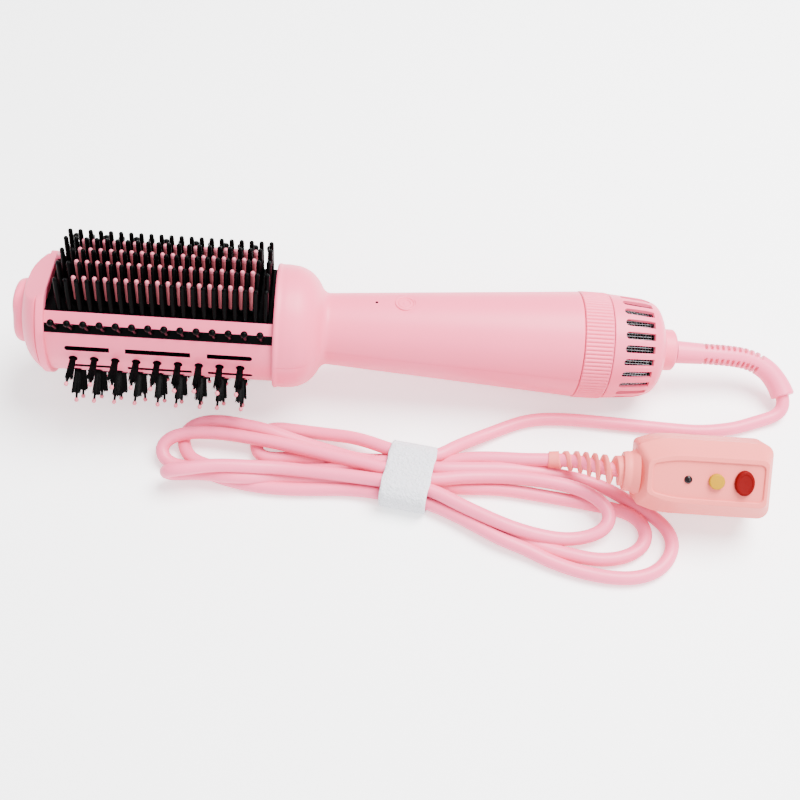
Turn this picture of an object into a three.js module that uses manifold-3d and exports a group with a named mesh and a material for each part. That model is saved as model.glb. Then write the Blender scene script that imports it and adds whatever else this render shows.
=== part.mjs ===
// Hot air brush with a heated comb, a round tufted brush, a swivel cord tied in a hank, and a
// leakage-protected plug. Millimetres, +Z up. The brush lies on the plane Z = 0, comb side up,
// with its nose towards -X. The origin is on that plane, under the middle of the brush.
import * as THREE from "three";
import { mergeVertices } from "three/addons/utils/BufferGeometryUtils.js";
import Module from "manifold-3d";

const wasm = await Module();
wasm.setup();

// ---------------------------------------------------------------- driving dimensions
// Stations along the brush, measured from the tip of the nose.
const KNOB_END = 5.5;
const RIM_START = 14.9;
const RIM_END = 18.0;
const BELL_FACE = 118.0;
const NECK = 141.6;
const BUTTON_X = 177.0;
const LED_X = 163.9;
const HANDLE_END = 258.9;
const RING_END = 272.8;
const COVER_BACK = 300.6;
const COLLAR_END = 307.0;

// Radii.
const KNOB_R = 14.6;
const RIM_R = 27.8;
const BARREL_R = 26.0;
const BELL_R = 28.9;
const NECK_R = 16.6;
const HANDLE_R = 24.9;
const RING_R = 25.2;
const COLLAR_R = 9.9;

const WALL = 1.6;
const GAP = 0.3; // left between pieces that touch

// The comb panel is a chord of the barrel. Heights are measured from the brush's axis.
const COMB_TOP = 17.8;
const COMB_HALF_WIDTH = 18.3;
const COMB_PITCH = 4.51;
const HOT_TEETH_PER_ROW = 18;
const FIRST_HOT_TOOTH = 31.1;
const HOT_ROWS = [-12.9, -4.3, 4.3, 12.9];
const HOT_HEIGHTS = [33.3, 35.2, 35.2, 33.3];
const COOL_ROWS = [-17.1, -8.6, 0, 8.6, 17.1];
const COOL_HEIGHTS = [35.2, 37.6, 37.9, 37.6, 35.2];

const TUFT_ANGLES = [99, 126, 153, 180, 207, 234, 261]; // from the comb's normal, in degrees
const TUFTS_PER_ROW = 9;
const FIRST_TUFT = 29.4;
const TUFT_PITCH = 9.3;
const TUFT_REACH = 41.0;

const AIR_SLOT_ANGLES = [85, 112.5, 139.5, 166.5, 193.5, 220.5, 247.5, 275];
const AIR_SLOTS = [[26.2, 45.8], [52.8, 81.6], [89.0, 109.2]];

const STRIP_ANGLE = 63.5;
const STRIP_PIN_ANGLE = 37.5; // the pins lean towards the comb
const STRIP_PINS = 14;
const FIRST_STRIP_PIN = 23.3;
const STRIP_PITCH = 6.9;
const STRIP_PIN_LENGTH = 14.6;

const INLET_SLOTS = 24;
const INLET_SLOT_START = 277.8;
const INLET_SLOT_END = 292.0;
const INLET_SLOT_WIDTH = 3.0;
const RING_GROOVES = 48;

// How the brush lies: nose raised on its tufts, comb rolled a little away from the front.
const TILT = THREE.MathUtils.degToRad(5.2);
const ROLL = THREE.MathUtils.degToRad(9);
const NOSE_HEIGHT = 50.1; // of the axis at the nose
const NOSE_X = -152.87;
const SHIFT = new THREE.Vector3(0.09, 0.78, 0); // puts the origin under the middle of the brush

// The cord, its tie and its plug.
const CORD_R = 3.1;
const LEAD_ROUTE = [
  [206.7, -20.1, 7.0], [206.3, -21.9, 5.8], [204.8, -23.8, 4.5], [201.4, -25.5, 3.5],
  [197.0, -26.8, 3.2], [190.0, -29.2, 3.2], [183.0, -31.6, 3.2], [174.9, -33.0, 3.2],
  [165.2, -33.8, 3.2], [155.9, -33.2, 3.2], [146.0, -32.1, 3.2], [137.1, -31.1, 3.2],
  [127.5, -30.0, 3.2], [118.3, -29.0, 3.2], [108.5, -28.0, 3.2], [99.3, -27.4, 3.2],
  [88.8, -27.6, 3.2], [81.5, -29.0, 3.2], [75.2, -31.4, 3.2], [67.5, -35.0, 3.4],
  [60.3, -38.9, 4.6], [54.0, -43.0, 6.4], [48.5, -46.9, 8.3], [44.0, -50.3, 9.4],
];
const TAIL_ROUTE = [
  [42.0, -58.0, 9.6], [48.0, -57.2, 9.7], [58.0, -56.0, 9.7], [70.0, -55.2, 9.9],
  [81.0, -55.0, 10.4], [90.4, -55.0, 10.9],
];
const STRAP_AT = [27.3, -61.7];
const STRAP_YAW = THREE.MathUtils.degToRad(-12);
const STRAP_HALF_WIDTH = 10.7;
const BUNDLE = { back: 13.9, front: -15.6, floor: 1.4, top: 13.0 };
const PLUG_AT = [155.4, -72.3, 26.1];
const PLUG_YAW = THREE.MathUtils.degToRad(-3.9);
const PLUG_ROLL = THREE.MathUtils.degToRad(42);
const PLUG_LENGTH = 58;
const PLUG_WIDTH = 33;
const PLUG_THICKNESS = 25;
const PLUG_SPLIT = -1.5; // height of the seam between the plug's two halves
const LENS_X = -8;
const LENS_R = 1.6;
const TEST_BUTTON_X = 4;
const TEST_BUTTON_R = 3.4;
const RESET_BUTTON_X = 15.8;

// ---------------------------------------------------------------- materials
function finish(color, roughness, metalness = 0) {
  return new THREE.MeshStandardMaterial({ color, roughness, metalness });
}
const pink = () => finish(0xf0b4c4, 0.42);
const warmPink = () => finish(0xf2b2a8, 0.5);
const softPink = () => finish(0xf3a9be, 0.55);
const black = () => finish(0x0d0d0f, 0.5);
const steel = () => finish(0xb9bcc0, 0.3, 0.9);
const copper = () => finish(0xb87333, 0.35, 0.9);
const mica = () => finish(0xc9b79a, 0.7);
const white = () => finish(0xf4f5f6, 0.9);
const board = () => finish(0x2f6b3a, 0.6);

// ---------------------------------------------------------------- solids
// A closed geometry as a manifold solid, with its faces turned outwards.
function solid(geometry, { at = [0, 0, 0], turn = [0, 0, 0], order = "XYZ" } = {}) {
  const bare = new THREE.BufferGeometry();
  const source = geometry.index ? geometry.toNonIndexed() : geometry;
  bare.setAttribute("position", source.getAttribute("position").clone());
  const euler = new THREE.Euler(...turn, order);
  bare.applyMatrix4(new THREE.Matrix4().makeRotationFromEuler(euler));
  bare.translate(...at);
  const merged = mergeVertices(bare, 1e-4);
  const index = merged.index.array;
  const triangles = [];
  for (let i = 0; i < index.length; i += 3) {
    const [a, b, c] = [index[i], index[i + 1], index[i + 2]];
    if (a !== b && b !== c && c !== a) triangles.push(a, b, c);
  }
  const make = (triVerts) =>
    new wasm.Manifold(
      new wasm.Mesh({
        numProp: 3,
        vertProperties: new Float32Array(merged.attributes.position.array),
        triVerts: new Uint32Array(triVerts),
      }),
    );
  const made = make(triangles);
  if (made.volume() > 0) return made;
  for (let i = 0; i < triangles.length; i += 3) {
    [triangles[i + 1], triangles[i + 2]] = [triangles[i + 2], triangles[i + 1]];
  }
  return make(triangles);
}

function union(solids) {
  return solids.reduce((all, next) => all.add(next));
}

// A mesh for one sub-part.
function mesh(name, shape, material) {
  const made = shape.getMesh();
  const geometry = new THREE.BufferGeometry();
  geometry.setAttribute("position", new THREE.BufferAttribute(made.vertProperties, 3));
  geometry.setIndex(new THREE.BufferAttribute(made.triVerts, 1));
  geometry.computeVertexNormals();
  const part = new THREE.Mesh(geometry, material);
  part.name = name;
  return part;
}

// A box between two corners.
function block(low, high) {
  const size = high.map((v, i) => v - low[i]);
  const middle = high.map((v, i) => (v + low[i]) / 2);
  return solid(new THREE.BoxGeometry(...size), { at: middle });
}

// A profile of [x, radius] points turned about the X axis. The profile closes on itself,
// unless it starts and ends on the axis.
function turned(profile, segments = 32, at = [0, 0, 0]) {
  const points = profile.map(([x, r]) => new THREE.Vector2(r, x));
  const onAxis = profile[0][1] === 0 && profile[profile.length - 1][1] === 0;
  if (!onAxis) points.push(points[0].clone());
  const geometry = new THREE.LatheGeometry(points, segments);
  return solid(geometry, { turn: [0, 0, -Math.PI / 2], at });
}

function ring(from, to, inner, outer, segments = 32) {
  return turned([[from, inner], [from, outer], [to, outer], [to, inner]], segments);
}

function disc(from, to, radius, segments = 24) {
  return turned([[from, 0], [from, radius], [to, radius], [to, 0]], segments);
}

// A round bar of one radius through a list of points.
function tube(points, radius, sides, steps) {
  const section = new THREE.Shape();
  for (let i = 0; i < sides; i++) {
    const a = (2 * Math.PI * (i + 0.5)) / sides;
    const x = radius * Math.cos(a);
    const y = radius * Math.sin(a);
    if (i === 0) section.moveTo(x, y);
    else section.lineTo(x, y);
  }
  const path = new THREE.CatmullRomCurve3(points.map((p) => new THREE.Vector3(...p)));
  return solid(new THREE.ExtrudeGeometry(section, { steps, extrudePath: path }));
}

// A tapered four-sided bar standing on Z = foot, used for teeth, tufts and pins.
function taper(foot, tip, footWidth, tipWidth) {
  const length = tip - foot;
  const root2 = Math.SQRT2 / 2;
  const geometry = new THREE.CylinderGeometry(tipWidth * root2, footWidth * root2, length, 4);
  geometry.rotateX(Math.PI / 2);
  geometry.rotateZ(Math.PI / 4);
  geometry.translate(0, 0, (foot + tip) / 2);
  return geometry;
}

// Turns a geometry about the brush's axis; angles run from the comb's normal to the front.
function around(geometry, degrees, x) {
  const turn = [THREE.MathUtils.degToRad(degrees), 0, 0];
  return solid(geometry, { turn, at: [x, 0, 0] });
}

// ---------------------------------------------------------------- brush head
function noseKnob() {
  const body = turned([
    [0, 0], [0, 10.4], [0.7, 12.6], [2.0, 14.1], [3.4, KNOB_R], [KNOB_END - GAP, KNOB_R],
    [KNOB_END - GAP, 0],
  ], 28);
  const scoops = [1, -1].map((side) =>
    solid(new THREE.CylinderGeometry(11, 11, 12, 20), {
      turn: [0, 0, Math.PI / 2 - 0.35 * side],
      at: [-1.5, 0, 23.2 * side],
    }),
  );
  return body.subtract(scoops[0]).subtract(scoops[1]);
}

function endCap() {
  const shell = turned([
    [KNOB_END, 0], [KNOB_END, 15.4], [7.0, 19.8], [9.9, 23.8], [RIM_START - 1.2, 26.8],
    [RIM_START, RIM_R], [RIM_END, RIM_R], [RIM_END, BARREL_R + GAP], [14.2, BARREL_R + GAP],
    [11.4, 22.6], [8.6, 18.0], [7.3, 14.0], [7.3, 0],
  ], 28);
  const facet = solid(new THREE.BoxGeometry(30, 60, 8), {
    turn: [0, -0.62, 0],
    at: [8.1, 0, 25.2],
  });
  return shell.subtract(facet);
}

function barrelShell() {
  const shell = ring(RIM_END - 3, BELL_FACE + 2.5, BARREL_R - WALL, BARREL_R, 32);
  const chord = block([10, -COMB_HALF_WIDTH - GAP, 15.2], [140, COMB_HALF_WIDTH + GAP, 40]);
  const lips = block([10, -40, COMB_TOP], [140, 40, 40]);
  const slots = AIR_SLOT_ANGLES.flatMap((angle) =>
    AIR_SLOTS.map(([from, to]) => {
      const cutter = new THREE.BoxGeometry(to - from, 2.3, 6);
      cutter.translate(0, 0, BARREL_R - 1);
      return around(cutter, angle, (from + to) / 2);
    }),
  );
  const stripSlots = [STRIP_ANGLE, -STRIP_ANGLE].map((angle) => {
    const cutter = new THREE.BoxGeometry(BELL_FACE - RIM_END - 3, 4.4, 6);
    cutter.translate(0, 0, BARREL_R - 1);
    return around(cutter, angle, (BELL_FACE + RIM_END) / 2);
  });
  const holes = TUFT_ANGLES.flatMap((angle) =>
    tuftStations().map((x) => around(taper(22, 29, 3.5, 3.5), angle, x)),
  );
  return [chord, lips, ...slots, ...stripSlots, ...holes].reduce(
    (left, cutter) => left.subtract(cutter),
    shell,
  );
}

function tuftStations() {
  return Array.from({ length: TUFTS_PER_ROW }, (_, i) => FIRST_TUFT + i * TUFT_PITCH);
}

// A strip inside the barrel that carries one row of bristle tufts out through the holes.
function tuftRow(angle) {
  const strip = new THREE.BoxGeometry(TUFT_PITCH * TUFTS_PER_ROW + 2, 5.4, 1.6);
  strip.translate(0, 0, 22.6);
  const middle = FIRST_TUFT + ((TUFTS_PER_ROW - 1) * TUFT_PITCH) / 2;
  const tufts = tuftStations().map((x) =>
    around(taper(22.6, TUFT_REACH, 2.6, 2.9), angle, x),
  );
  return union([around(strip, angle, middle), ...tufts]);
}

// A strip along the edge of the comb, with one row of round-headed guide pins.
function guideStrip(side) {
  const length = BELL_FACE - RIM_END - 3.6;
  const strip = new THREE.BoxGeometry(length, 3.8, 2.2);
  strip.translate(0, 0, BARREL_R - 0.7);
  const base = around(strip, side * STRIP_ANGLE, (BELL_FACE + RIM_END) / 2);
  const foot = THREE.MathUtils.degToRad(STRIP_ANGLE);
  const lean = THREE.MathUtils.degToRad(side * STRIP_PIN_ANGLE);
  const pins = Array.from({ length: STRIP_PINS }, (_, i) =>
    solid(taper(0, STRIP_PIN_LENGTH, 1.8, 2.1), {
      turn: [lean, 0, 0],
      at: [
        FIRST_STRIP_PIN + i * STRIP_PITCH,
        -side * Math.sin(foot) * (BARREL_R - 0.6),
        Math.cos(foot) * (BARREL_R - 0.6),
      ],
    }),
  );
  return union([base, ...pins]);
}

// One row of teeth as a flat comb standing across Y, with straight tapered teeth.
function toothRow(first, count, foot, tip, width, y) {
  const outline = new THREE.Shape();
  const half = width / 2;
  outline.moveTo(first - half, foot);
  for (let i = 0; i < count; i++) {
    const x = first + i * COMB_PITCH;
    if (i > 0) outline.lineTo(x - half, foot + 1);
    outline.lineTo(x - half * 0.7, tip);
    outline.lineTo(x + half * 0.7, tip);
    if (i < count - 1) outline.lineTo(x + half, foot + 1);
  }
  outline.lineTo(first + (count - 1) * COMB_PITCH + half, foot);
  const plate = new THREE.ExtrudeGeometry(outline, { depth: 1.7, bevelEnabled: false });
  return solid(plate, { turn: [Math.PI / 2, 0, 0], at: [0, y + 0.85, 0] });
}

// The black comb cover: a plate with five rows of cool teeth and a slot for each hot row.
function combCover() {
  const count = HOT_TEETH_PER_ROW + 3;
  const first = FIRST_HOT_TOOTH - 1.5 * COMB_PITCH;
  const plate = block(
    [RIM_END + GAP, -COMB_HALF_WIDTH, 15.5],
    [BELL_FACE - GAP, COMB_HALF_WIDTH, COMB_TOP - 1],
  );
  const rows = COOL_ROWS.map((y, i) =>
    toothRow(first, count, COMB_TOP - 1.6, COOL_HEIGHTS[i], 2.1, y),
  );
  const slots = HOT_ROWS.map((y) => block([27.5, y - 1.3, 14], [110.5, y + 1.3, 20]));
  return slots.reduce((left, slot) => left.subtract(slot), union([plate, ...rows]));
}

// The heated plate under the cover, with four rows of hot teeth.
function heatedComb() {
  const plate = block([26.0, -16.0, 13.4], [112.0, 16.0, 15.2]);
  const rows = HOT_ROWS.map((y, i) =>
    toothRow(FIRST_HOT_TOOTH, HOT_TEETH_PER_ROW, 14.6, HOT_HEIGHTS[i], 2.0, y),
  );
  return union([plate, ...rows]);
}

function headPieces() {
  return [
    mesh("nose_knob", noseKnob(), pink()),
    mesh("end_cap", endCap(), pink()),
    mesh("brush_barrel", barrelShell(), pink()),
    mesh("comb_cover", combCover(), black()),
    mesh("heated_comb", heatedComb(), pink()),
    mesh("front_guide_strip", guideStrip(1), black()),
    mesh("rear_guide_strip", guideStrip(-1), black()),
    ...TUFT_ANGLES.map((angle, i) => mesh(`tuft_row_${i + 1}`, tuftRow(angle), black())),
  ];
}

// ---------------------------------------------------------------- heater, inside the barrel
function heaterFrame() {
  const vane = block([34, -8.5, -0.5], [100, 8.5, 0.5]);
  const cross = block([34, -0.5, -8.5], [100, 0.5, 8.5]);
  return union([vane, cross, disc(100, 101.2, 8.5, 16)]);
}

function heaterCoil() {
  const turns = 6;
  const steps = turns * 8;
  const points = Array.from({ length: steps + 1 }, (_, i) => {
    const a = (2 * Math.PI * i) / 8;
    return [38 + (56 * i) / steps, 9.9 * Math.cos(a), 9.9 * Math.sin(a)];
  });
  return tube(points, 0.5, 4, steps);
}

function heaterPieces() {
  return [
    mesh("comb_heater", block([32, -12, 10.9], [106, 12, 13.1]), finish(0xb98a5a, 0.5, 0.3)),
    mesh("heater_frame", heaterFrame(), mica()),
    mesh("heater_coil", heaterCoil(), steel()),
    mesh("thermostat", disc(101.6, 105.5, 6, 16), steel()),
    mesh("thermal_fuse", solid(new THREE.CylinderGeometry(1.5, 1.5, 9, 8), {
      turn: [0, 0, Math.PI / 2],
      at: [112, 0, -8],
    }), steel()),
  ];
}

// ---------------------------------------------------------------- handle
// Outer profile of the handle, bell included, as [x, radius].
const HANDLE_PROFILE = [
  [BELL_FACE, BELL_R - 0.9], [BELL_FACE + 0.9, BELL_R], [BELL_FACE + 4, BELL_R],
  [BELL_FACE + 9, 27.5], [BELL_FACE + 13.6, 24.9], [BELL_FACE + 17.4, 21.5],
  [BELL_FACE + 20.4, 18.2], [NECK, NECK_R], [BUTTON_X, 19.1], [HANDLE_END, HANDLE_R],
];

function handleBody() {
  const inner = HANDLE_PROFILE.slice(3).map(([x, r]) => [x, r - WALL]);
  const bore = BARREL_R + GAP;
  return turned([
    ...HANDLE_PROFILE, ...inner.reverse(), [BELL_FACE + 8, bore - 1], [BELL_FACE + 7, bore],
    [BELL_FACE, bore],
  ], 32);
}

function frontShell() {
  const half = handleBody().subtract(block([100, -40, -40], [280, 40, 0.12]));
  const buttonHole = solid(new THREE.CylinderGeometry(6.3, 6.3, 12, 20), {
    turn: [Math.PI / 2, 0, 0],
    at: [BUTTON_X, 0, 20],
  });
  const ledHole = solid(new THREE.CylinderGeometry(1.1, 1.1, 12, 8), {
    turn: [Math.PI / 2, 0, 0],
    at: [LED_X, 0, 18],
  });
  return half.subtract(buttonHole).subtract(ledHole);
}

function rearShell() {
  return handleBody().subtract(block([100, -40, -0.12], [280, 40, 40]));
}

// Things that stand on the comb side of the handle, such as the button.
function upright(profile, segments, x) {
  const points = profile.map(([r, z]) => new THREE.Vector2(r, z));
  if (profile[0][0] !== 0) points.push(points[0].clone());
  const geometry = new THREE.LatheGeometry(points, segments);
  return solid(geometry, { turn: [Math.PI / 2, 0, 0], at: [x, 0, 0] });
}

function controlRing() {
  const outline = new THREE.Shape();
  const corners = RING_GROOVES * 2;
  for (let i = 0; i < corners; i++) {
    const a = (2 * Math.PI * i) / corners;
    const r = i % 2 ? RING_R : RING_R - 0.5;
    if (i === 0) outline.moveTo(r, 0);
    else outline.lineTo(r * Math.cos(a), r * Math.sin(a));
  }
  const bore = new THREE.Path().absarc(0, 0, 21.2, 0, 2 * Math.PI, true);
  outline.holes.push(bore);
  const length = RING_END - HANDLE_END - 2 * GAP;
  const grip = new THREE.ExtrudeGeometry(outline, {
    depth: length,
    bevelEnabled: false,
    curveSegments: 24,
  });
  return solid(grip, { turn: [0, Math.PI / 2, 0], at: [HANDLE_END + GAP, 0, 0] });
}

// The fixed sleeve inside the control ring, which carries the air inlet cover.
function tailSleeve() {
  return ring(HANDLE_END - 8, RING_END + 2.5, 19.3, 20.8, 32);
}

function inletCover() {
  const shell = turned([
    [RING_END, 24.5], [290.2, 23.3], [295.6, 21.3], [298.8, 16.6], [COVER_BACK - 0.6, COLLAR_R],
    [COLLAR_END - 1.2, COLLAR_R], [COLLAR_END, COLLAR_R - 1.2], [COLLAR_END, 8.2],
    [COVER_BACK - 1.6, 8.2], [296.8, 16.0], [293.8, 19.9], [RING_END, 22.6],
  ], INLET_SLOTS);
  const slots = Array.from({ length: INLET_SLOTS }, (_, i) => {
    const cutter = new THREE.BoxGeometry(INLET_SLOT_END - INLET_SLOT_START, INLET_SLOT_WIDTH, 8);
    cutter.translate(0, 0, 23);
    return around(cutter, (360 / INLET_SLOTS) * i, (INLET_SLOT_START + INLET_SLOT_END) / 2);
  });
  return slots.reduce((left, slot) => left.subtract(slot), shell);
}

// The steel gauze behind the inlet slots, as a plain sleeve.
function inletFilter() {
  return ring(RING_END + 3, 293.2, 18.4, 18.9, 24);
}

function motorMount() {
  const vanes = Array.from({ length: 6 }, (_, i) => {
    const vane = new THREE.BoxGeometry(12, 1.2, 5.6);
    vane.translate(0, 0, 15.1);
    return around(vane, 60 * i + 30, 222);
  });
  return union([ring(214, 230, 17.6, 19.4, 24), ring(215, 229, 11.6, 12.6, 24), ...vanes]);
}

function impeller() {
  const hub = disc(238.2, 247.5, 8, 16);
  const bore = disc(230, 244, 1.25, 8);
  const blades = Array.from({ length: 7 }, (_, i) => {
    const blade = new THREE.BoxGeometry(8.6, 1.0, 11);
    blade.rotateZ(0.7);
    blade.translate(0, 0, 12.6);
    return around(blade, (360 / 7) * i, 242.6);
  });
  return union([hub, ...blades]).subtract(bore);
}

function handlePieces() {
  const bezel = upright(
    [[4.7, 16.6], [6.0, 16.6], [6.0, 19.0], [5.6, 19.4], [4.7, 19.2]],
    24,
    BUTTON_X,
  );
  const lens = upright([[0, 15.4], [0.8, 15.4], [0.8, 18.3], [0, 18.5]], 8, LED_X);
  const screwStations = [150, 204];
  const screwProfile = [[0, 7.6], [1.3, 7.6], [1.3, 11.4], [2.4, 11.4], [2.4, 12.6], [0, 12.6]];
  const screws = screwStations.map((x) => upright(screwProfile, 10, x));
  const circuit = block([146, -7, 9.4], [208, 7, 11.0]);
  const drill = screwStations.map((x) => upright([[0, 6], [1.6, 6], [1.6, 13], [0, 13]], 10, x));
  return [
    mesh("handle_front_shell", frontShell(), pink()),
    mesh("handle_rear_shell", rearShell(), pink()),
    mesh("button_bezel", bezel, pink()),
    mesh("indicator_lens", lens, finish(0x3a1014, 0.2)),
    mesh("control_board", circuit.subtract(drill[0]).subtract(drill[1]), board()),
    mesh("board_screw_1", screws[0], steel()),
    mesh("board_screw_2", screws[1], steel()),
    mesh("button_switch", block([BUTTON_X - 3, -3, 11.3], [BUTTON_X + 3, 3, 14.4]), black()),
    mesh("tail_sleeve", tailSleeve(), pink()),
    mesh("inlet_cover", inletCover(), pink()),
    mesh("inlet_filter", inletFilter(), steel()),
    mesh("motor", disc(212, 235, 11, 20), steel()),
    mesh("motor_mount", motorMount(), black()),
  ];
}

function powerButton() {
  const profile = [
    [0, 15.6], [1.6, 15.6], [1.6, 17.2], [4.3, 17.2], [4.3, 19.1], [3.9, 19.5], [0, 19.6],
  ];
  return upright(profile, 24, BUTTON_X);
}

function rotorPieces() {
  const shaft = disc(235.3, 243.6, 0.9, 8);
  return [mesh("fan_impeller", impeller(), black()), mesh("rotor_shaft", shaft, steel())];
}

// ---------------------------------------------------------------- cord
function swivelBush() {
  const bush = disc(COVER_BACK - 1.0, COLLAR_END - 0.6, 7.9, 24);
  const flange = disc(COVER_BACK - 4.7, COVER_BACK - 1.0, 6.4, 24);
  return union([bush, flange]);
}

// The moulded sleeve where the cord leaves the brush, bent down at its end.
function cordBoot() {
  const path = [
    [155.4, -1.0, 22.05], [163.0, -1.0, 21.3], [172.0, -1.0, 20.4], [181.0, -1.1, 19.3],
    [188.0, -1.6, 18.0], [194.0, -3.2, 16.4], [199.6, -6.6, 14.2], [203.6, -11.4, 11.4],
    [205.9, -16.2, 8.9], [206.5, -19.0, 7.6],
  ];
  return tube(path, 5.2, 10, 14);
}

// A closed outline through the given corners, extruded upwards.
function slab(corners, steps, low, high) {
  const loop = new THREE.CatmullRomCurve3(
    corners.map(([x, y]) => new THREE.Vector3(x, y, 0)),
    true,
  );
  const outline = new THREE.Shape(loop.getPoints(steps).slice(0, -1));
  const slice = new THREE.ExtrudeGeometry(outline, { depth: high - low, bevelEnabled: false });
  return solid(slice, { at: [0, 0, low] });
}

// The tied part of the cord: loops on both sides of the strap, as their outer shape.
function cordHank() {
  const left = slab([
    [24, -45.2], [8, -39.8], [-12, -33.8], [-32, -29.6], [-56, -27.4], [-73, -28.8],
    [-86, -35.0], [-92.2, -44.0], [-90.5, -54.0], [-85, -60.2], [-75, -60.0], [-62, -64.2],
    [-44, -68.4], [-24, -70.2], [0, -70.6], [22, -72.5],
  ], 48, 0.1, 10.0);
  const right = slab([
    [30, -60], [46, -54.6], [70, -52.8], [94, -54.6], [111, -58.8], [127, -67.4], [141, -80.5],
    [147.4, -92], [146.2, -101], [138, -110.2], [128, -113.8], [118, -114.2], [104, -111.6],
    [88, -105.6], [74, -98.0], [58, -90.0], [40, -81.8], [28, -76],
  ], 48, 0.1, 6.2);
  const w = STRAP_HALF_WIDTH + 2 * GAP;
  const cut = placeInStrap(block([-w, -40, -20], [w, 40, 20]));
  const side = placeInStrap(block([0, -100, -20], [200, 100, 20]));
  const bundle = block(
    [-STRAP_HALF_WIDTH - 1, BUNDLE.front, BUNDLE.floor + GAP],
    [STRAP_HALF_WIDTH + 1, BUNDLE.back, BUNDLE.top],
  );
  const loops = union([left.subtract(side), right.intersect(side)]);
  return loops.subtract(cut).add(placeInStrap(bundle));
}

// Moves a solid from the strap's own frame, with X along the cord, to its place.
function placeInStrap(shape) {
  const degrees = THREE.MathUtils.radToDeg(STRAP_YAW);
  return shape.rotate([0, 0, degrees]).translate([STRAP_AT[0], STRAP_AT[1], 0]);
}

// The hook-and-loop tie: a flat band closed around the bundle.
function hankStrap() {
  const t = 1.3;
  const w = STRAP_HALF_WIDTH;
  const b = BUNDLE;
  const outer = block([-w, b.front - GAP - t, 0], [w, b.back + GAP + t, b.top + GAP + t]);
  const inner = block([-w - 1, b.front - GAP, t], [w + 1, b.back + GAP, b.top + GAP]);
  return placeInStrap(outer.subtract(inner));
}

// The flexible sleeve between the cord and the plug.
function plugSleeve() {
  const path = [
    [91.0, -55.0, 11.0], [95.8, -55.5, 11.5], [100, -56.9, 13.2], [104.2, -59.6, 16.4],
    [108.4, -63.6, 20.6], [112, -67.1, 24.2], [115, -69.1, 25.9], [116.9, -69.6, 26.1],
  ];
  return tube(path, 4.6, 10, 12);
}

function cordPieces() {
  return [
    mesh("cord_boot", cordBoot(), pink()),
    mesh("cord_lead", tube(LEAD_ROUTE, CORD_R, 8, 40), softPink()),
    mesh("cord_hank", cordHank(), softPink()),
    mesh("hank_strap", hankStrap(), white()),
    mesh("cord_tail", tube(TAIL_ROUTE, CORD_R, 8, 10), softPink()),
    mesh("plug_sleeve", plugSleeve(), warmPink()),
  ];
}

// ---------------------------------------------------------------- plug
// The plug's own frame: X along it away from the cord, Z out of its button face.
function plugBody(low, high, inset) {
  const x = PLUG_LENGTH / 2;
  const y = PLUG_WIDTH / 2;
  const c = 4;
  const outline = new THREE.Shape();
  outline.moveTo(-x + c, -y);
  [
    [x - c, -y], [x, -y + c], [x, y - c], [x - c, y], [-x + c, y], [-x, y - c], [-x, -y + c],
  ].forEach(([px, py]) => outline.lineTo(px, py));
  const plate = new THREE.ExtrudeGeometry(outline, {
    depth: high - low - inset,
    bevelEnabled: true,
    bevelThickness: inset,
    bevelSize: inset,
    bevelOffset: -inset,
    bevelSegments: 1,
  });
  return solid(plate, { at: [0, 0, low + inset] });
}

// An upright round bar between two heights of the plug.
function post(radius, sides, x, low, high) {
  const bar = new THREE.CylinderGeometry(radius, radius, high - low, sides);
  return solid(bar, { turn: [Math.PI / 2, 0, 0], at: [x, 0, (low + high) / 2] });
}

function plugTop() {
  const body = plugBody(PLUG_SPLIT - 10, PLUG_THICKNESS / 2 - 2, 2);
  const hollow = block([-26.5, -14, -20], [26.5, 14, PLUG_THICKNESS / 2 - 2.2]);
  const belowSeam = block([-40, -40, -40], [40, 40, PLUG_SPLIT + 0.15]);
  const panel = block([-23, -10, PLUG_THICKNESS / 2 - 0.8], [26, 10, 20]);
  const holes = [
    post(TEST_BUTTON_R + 0.4, 16, TEST_BUTTON_X, 0, 20),
    post(LENS_R + GAP, 10, LENS_X, 0, 20),
    block([RESET_BUTTON_X - 4.5, -6.1, 0], [RESET_BUTTON_X + 4.5, 6.1, 20]),
  ];
  const cutters = [hollow, belowSeam, panel, ...holes];
  return cutters.reduce((left, cutter) => left.subtract(cutter), body);
}

function plugBottom() {
  const body = plugBody(-PLUG_THICKNESS / 2, 8, 1.2);
  const hollow = block([-26.5, -14, -PLUG_THICKNESS / 2 + 3], [26.5, 14, 20]);
  const aboveSeam = block([-40, -40, PLUG_SPLIT - 0.15], [40, 40, 40]);
  const slots = [-6.35, 6.35].map((y) => block([4, y - 1.05, -20], [11, y + 1.05, 0]));
  return [hollow, aboveSeam, ...slots].reduce((left, cutter) => left.subtract(cutter), body);
}

function plugNeck() {
  return ring(-37.4, -29.3, 3.4, 8.6, 16);
}

function plugBlade(y) {
  return block([4.3, y - 0.75, -PLUG_THICKNESS / 2 - 16], [10.7, y + 0.75, -7.6]);
}

function plugPieces() {
  return [
    mesh("plug_top", plugTop(), warmPink()),
    mesh("plug_bottom", plugBottom(), warmPink()),
    mesh("plug_neck", plugNeck(), warmPink()),
    mesh("plug_blade_1", plugBlade(-6.35), steel()),
    mesh("plug_blade_2", plugBlade(6.35), steel()),
    mesh("plug_board", block([-24, -12, -5.5], [24, 12, -3.9]), board()),
    mesh("trip_coil", disc(-22, -12, 4.5, 12).translate([0, 0, 1.2]), copper()),
    mesh("plug_lens", post(LENS_R, 10, LENS_X, 6.8, 11.8), black()),
  ];
}

function testButton() {
  return post(TEST_BUTTON_R, 16, TEST_BUTTON_X, 4.95, 13.45);
}

function resetButton() {
  const geometry = new THREE.CylinderGeometry(1, 1, 8.5, 20);
  geometry.scale(4.1, 1, 5.6);
  return solid(geometry, { turn: [Math.PI / 2, 0, 0], at: [RESET_BUTTON_X, 0, 9.2] });
}

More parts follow.
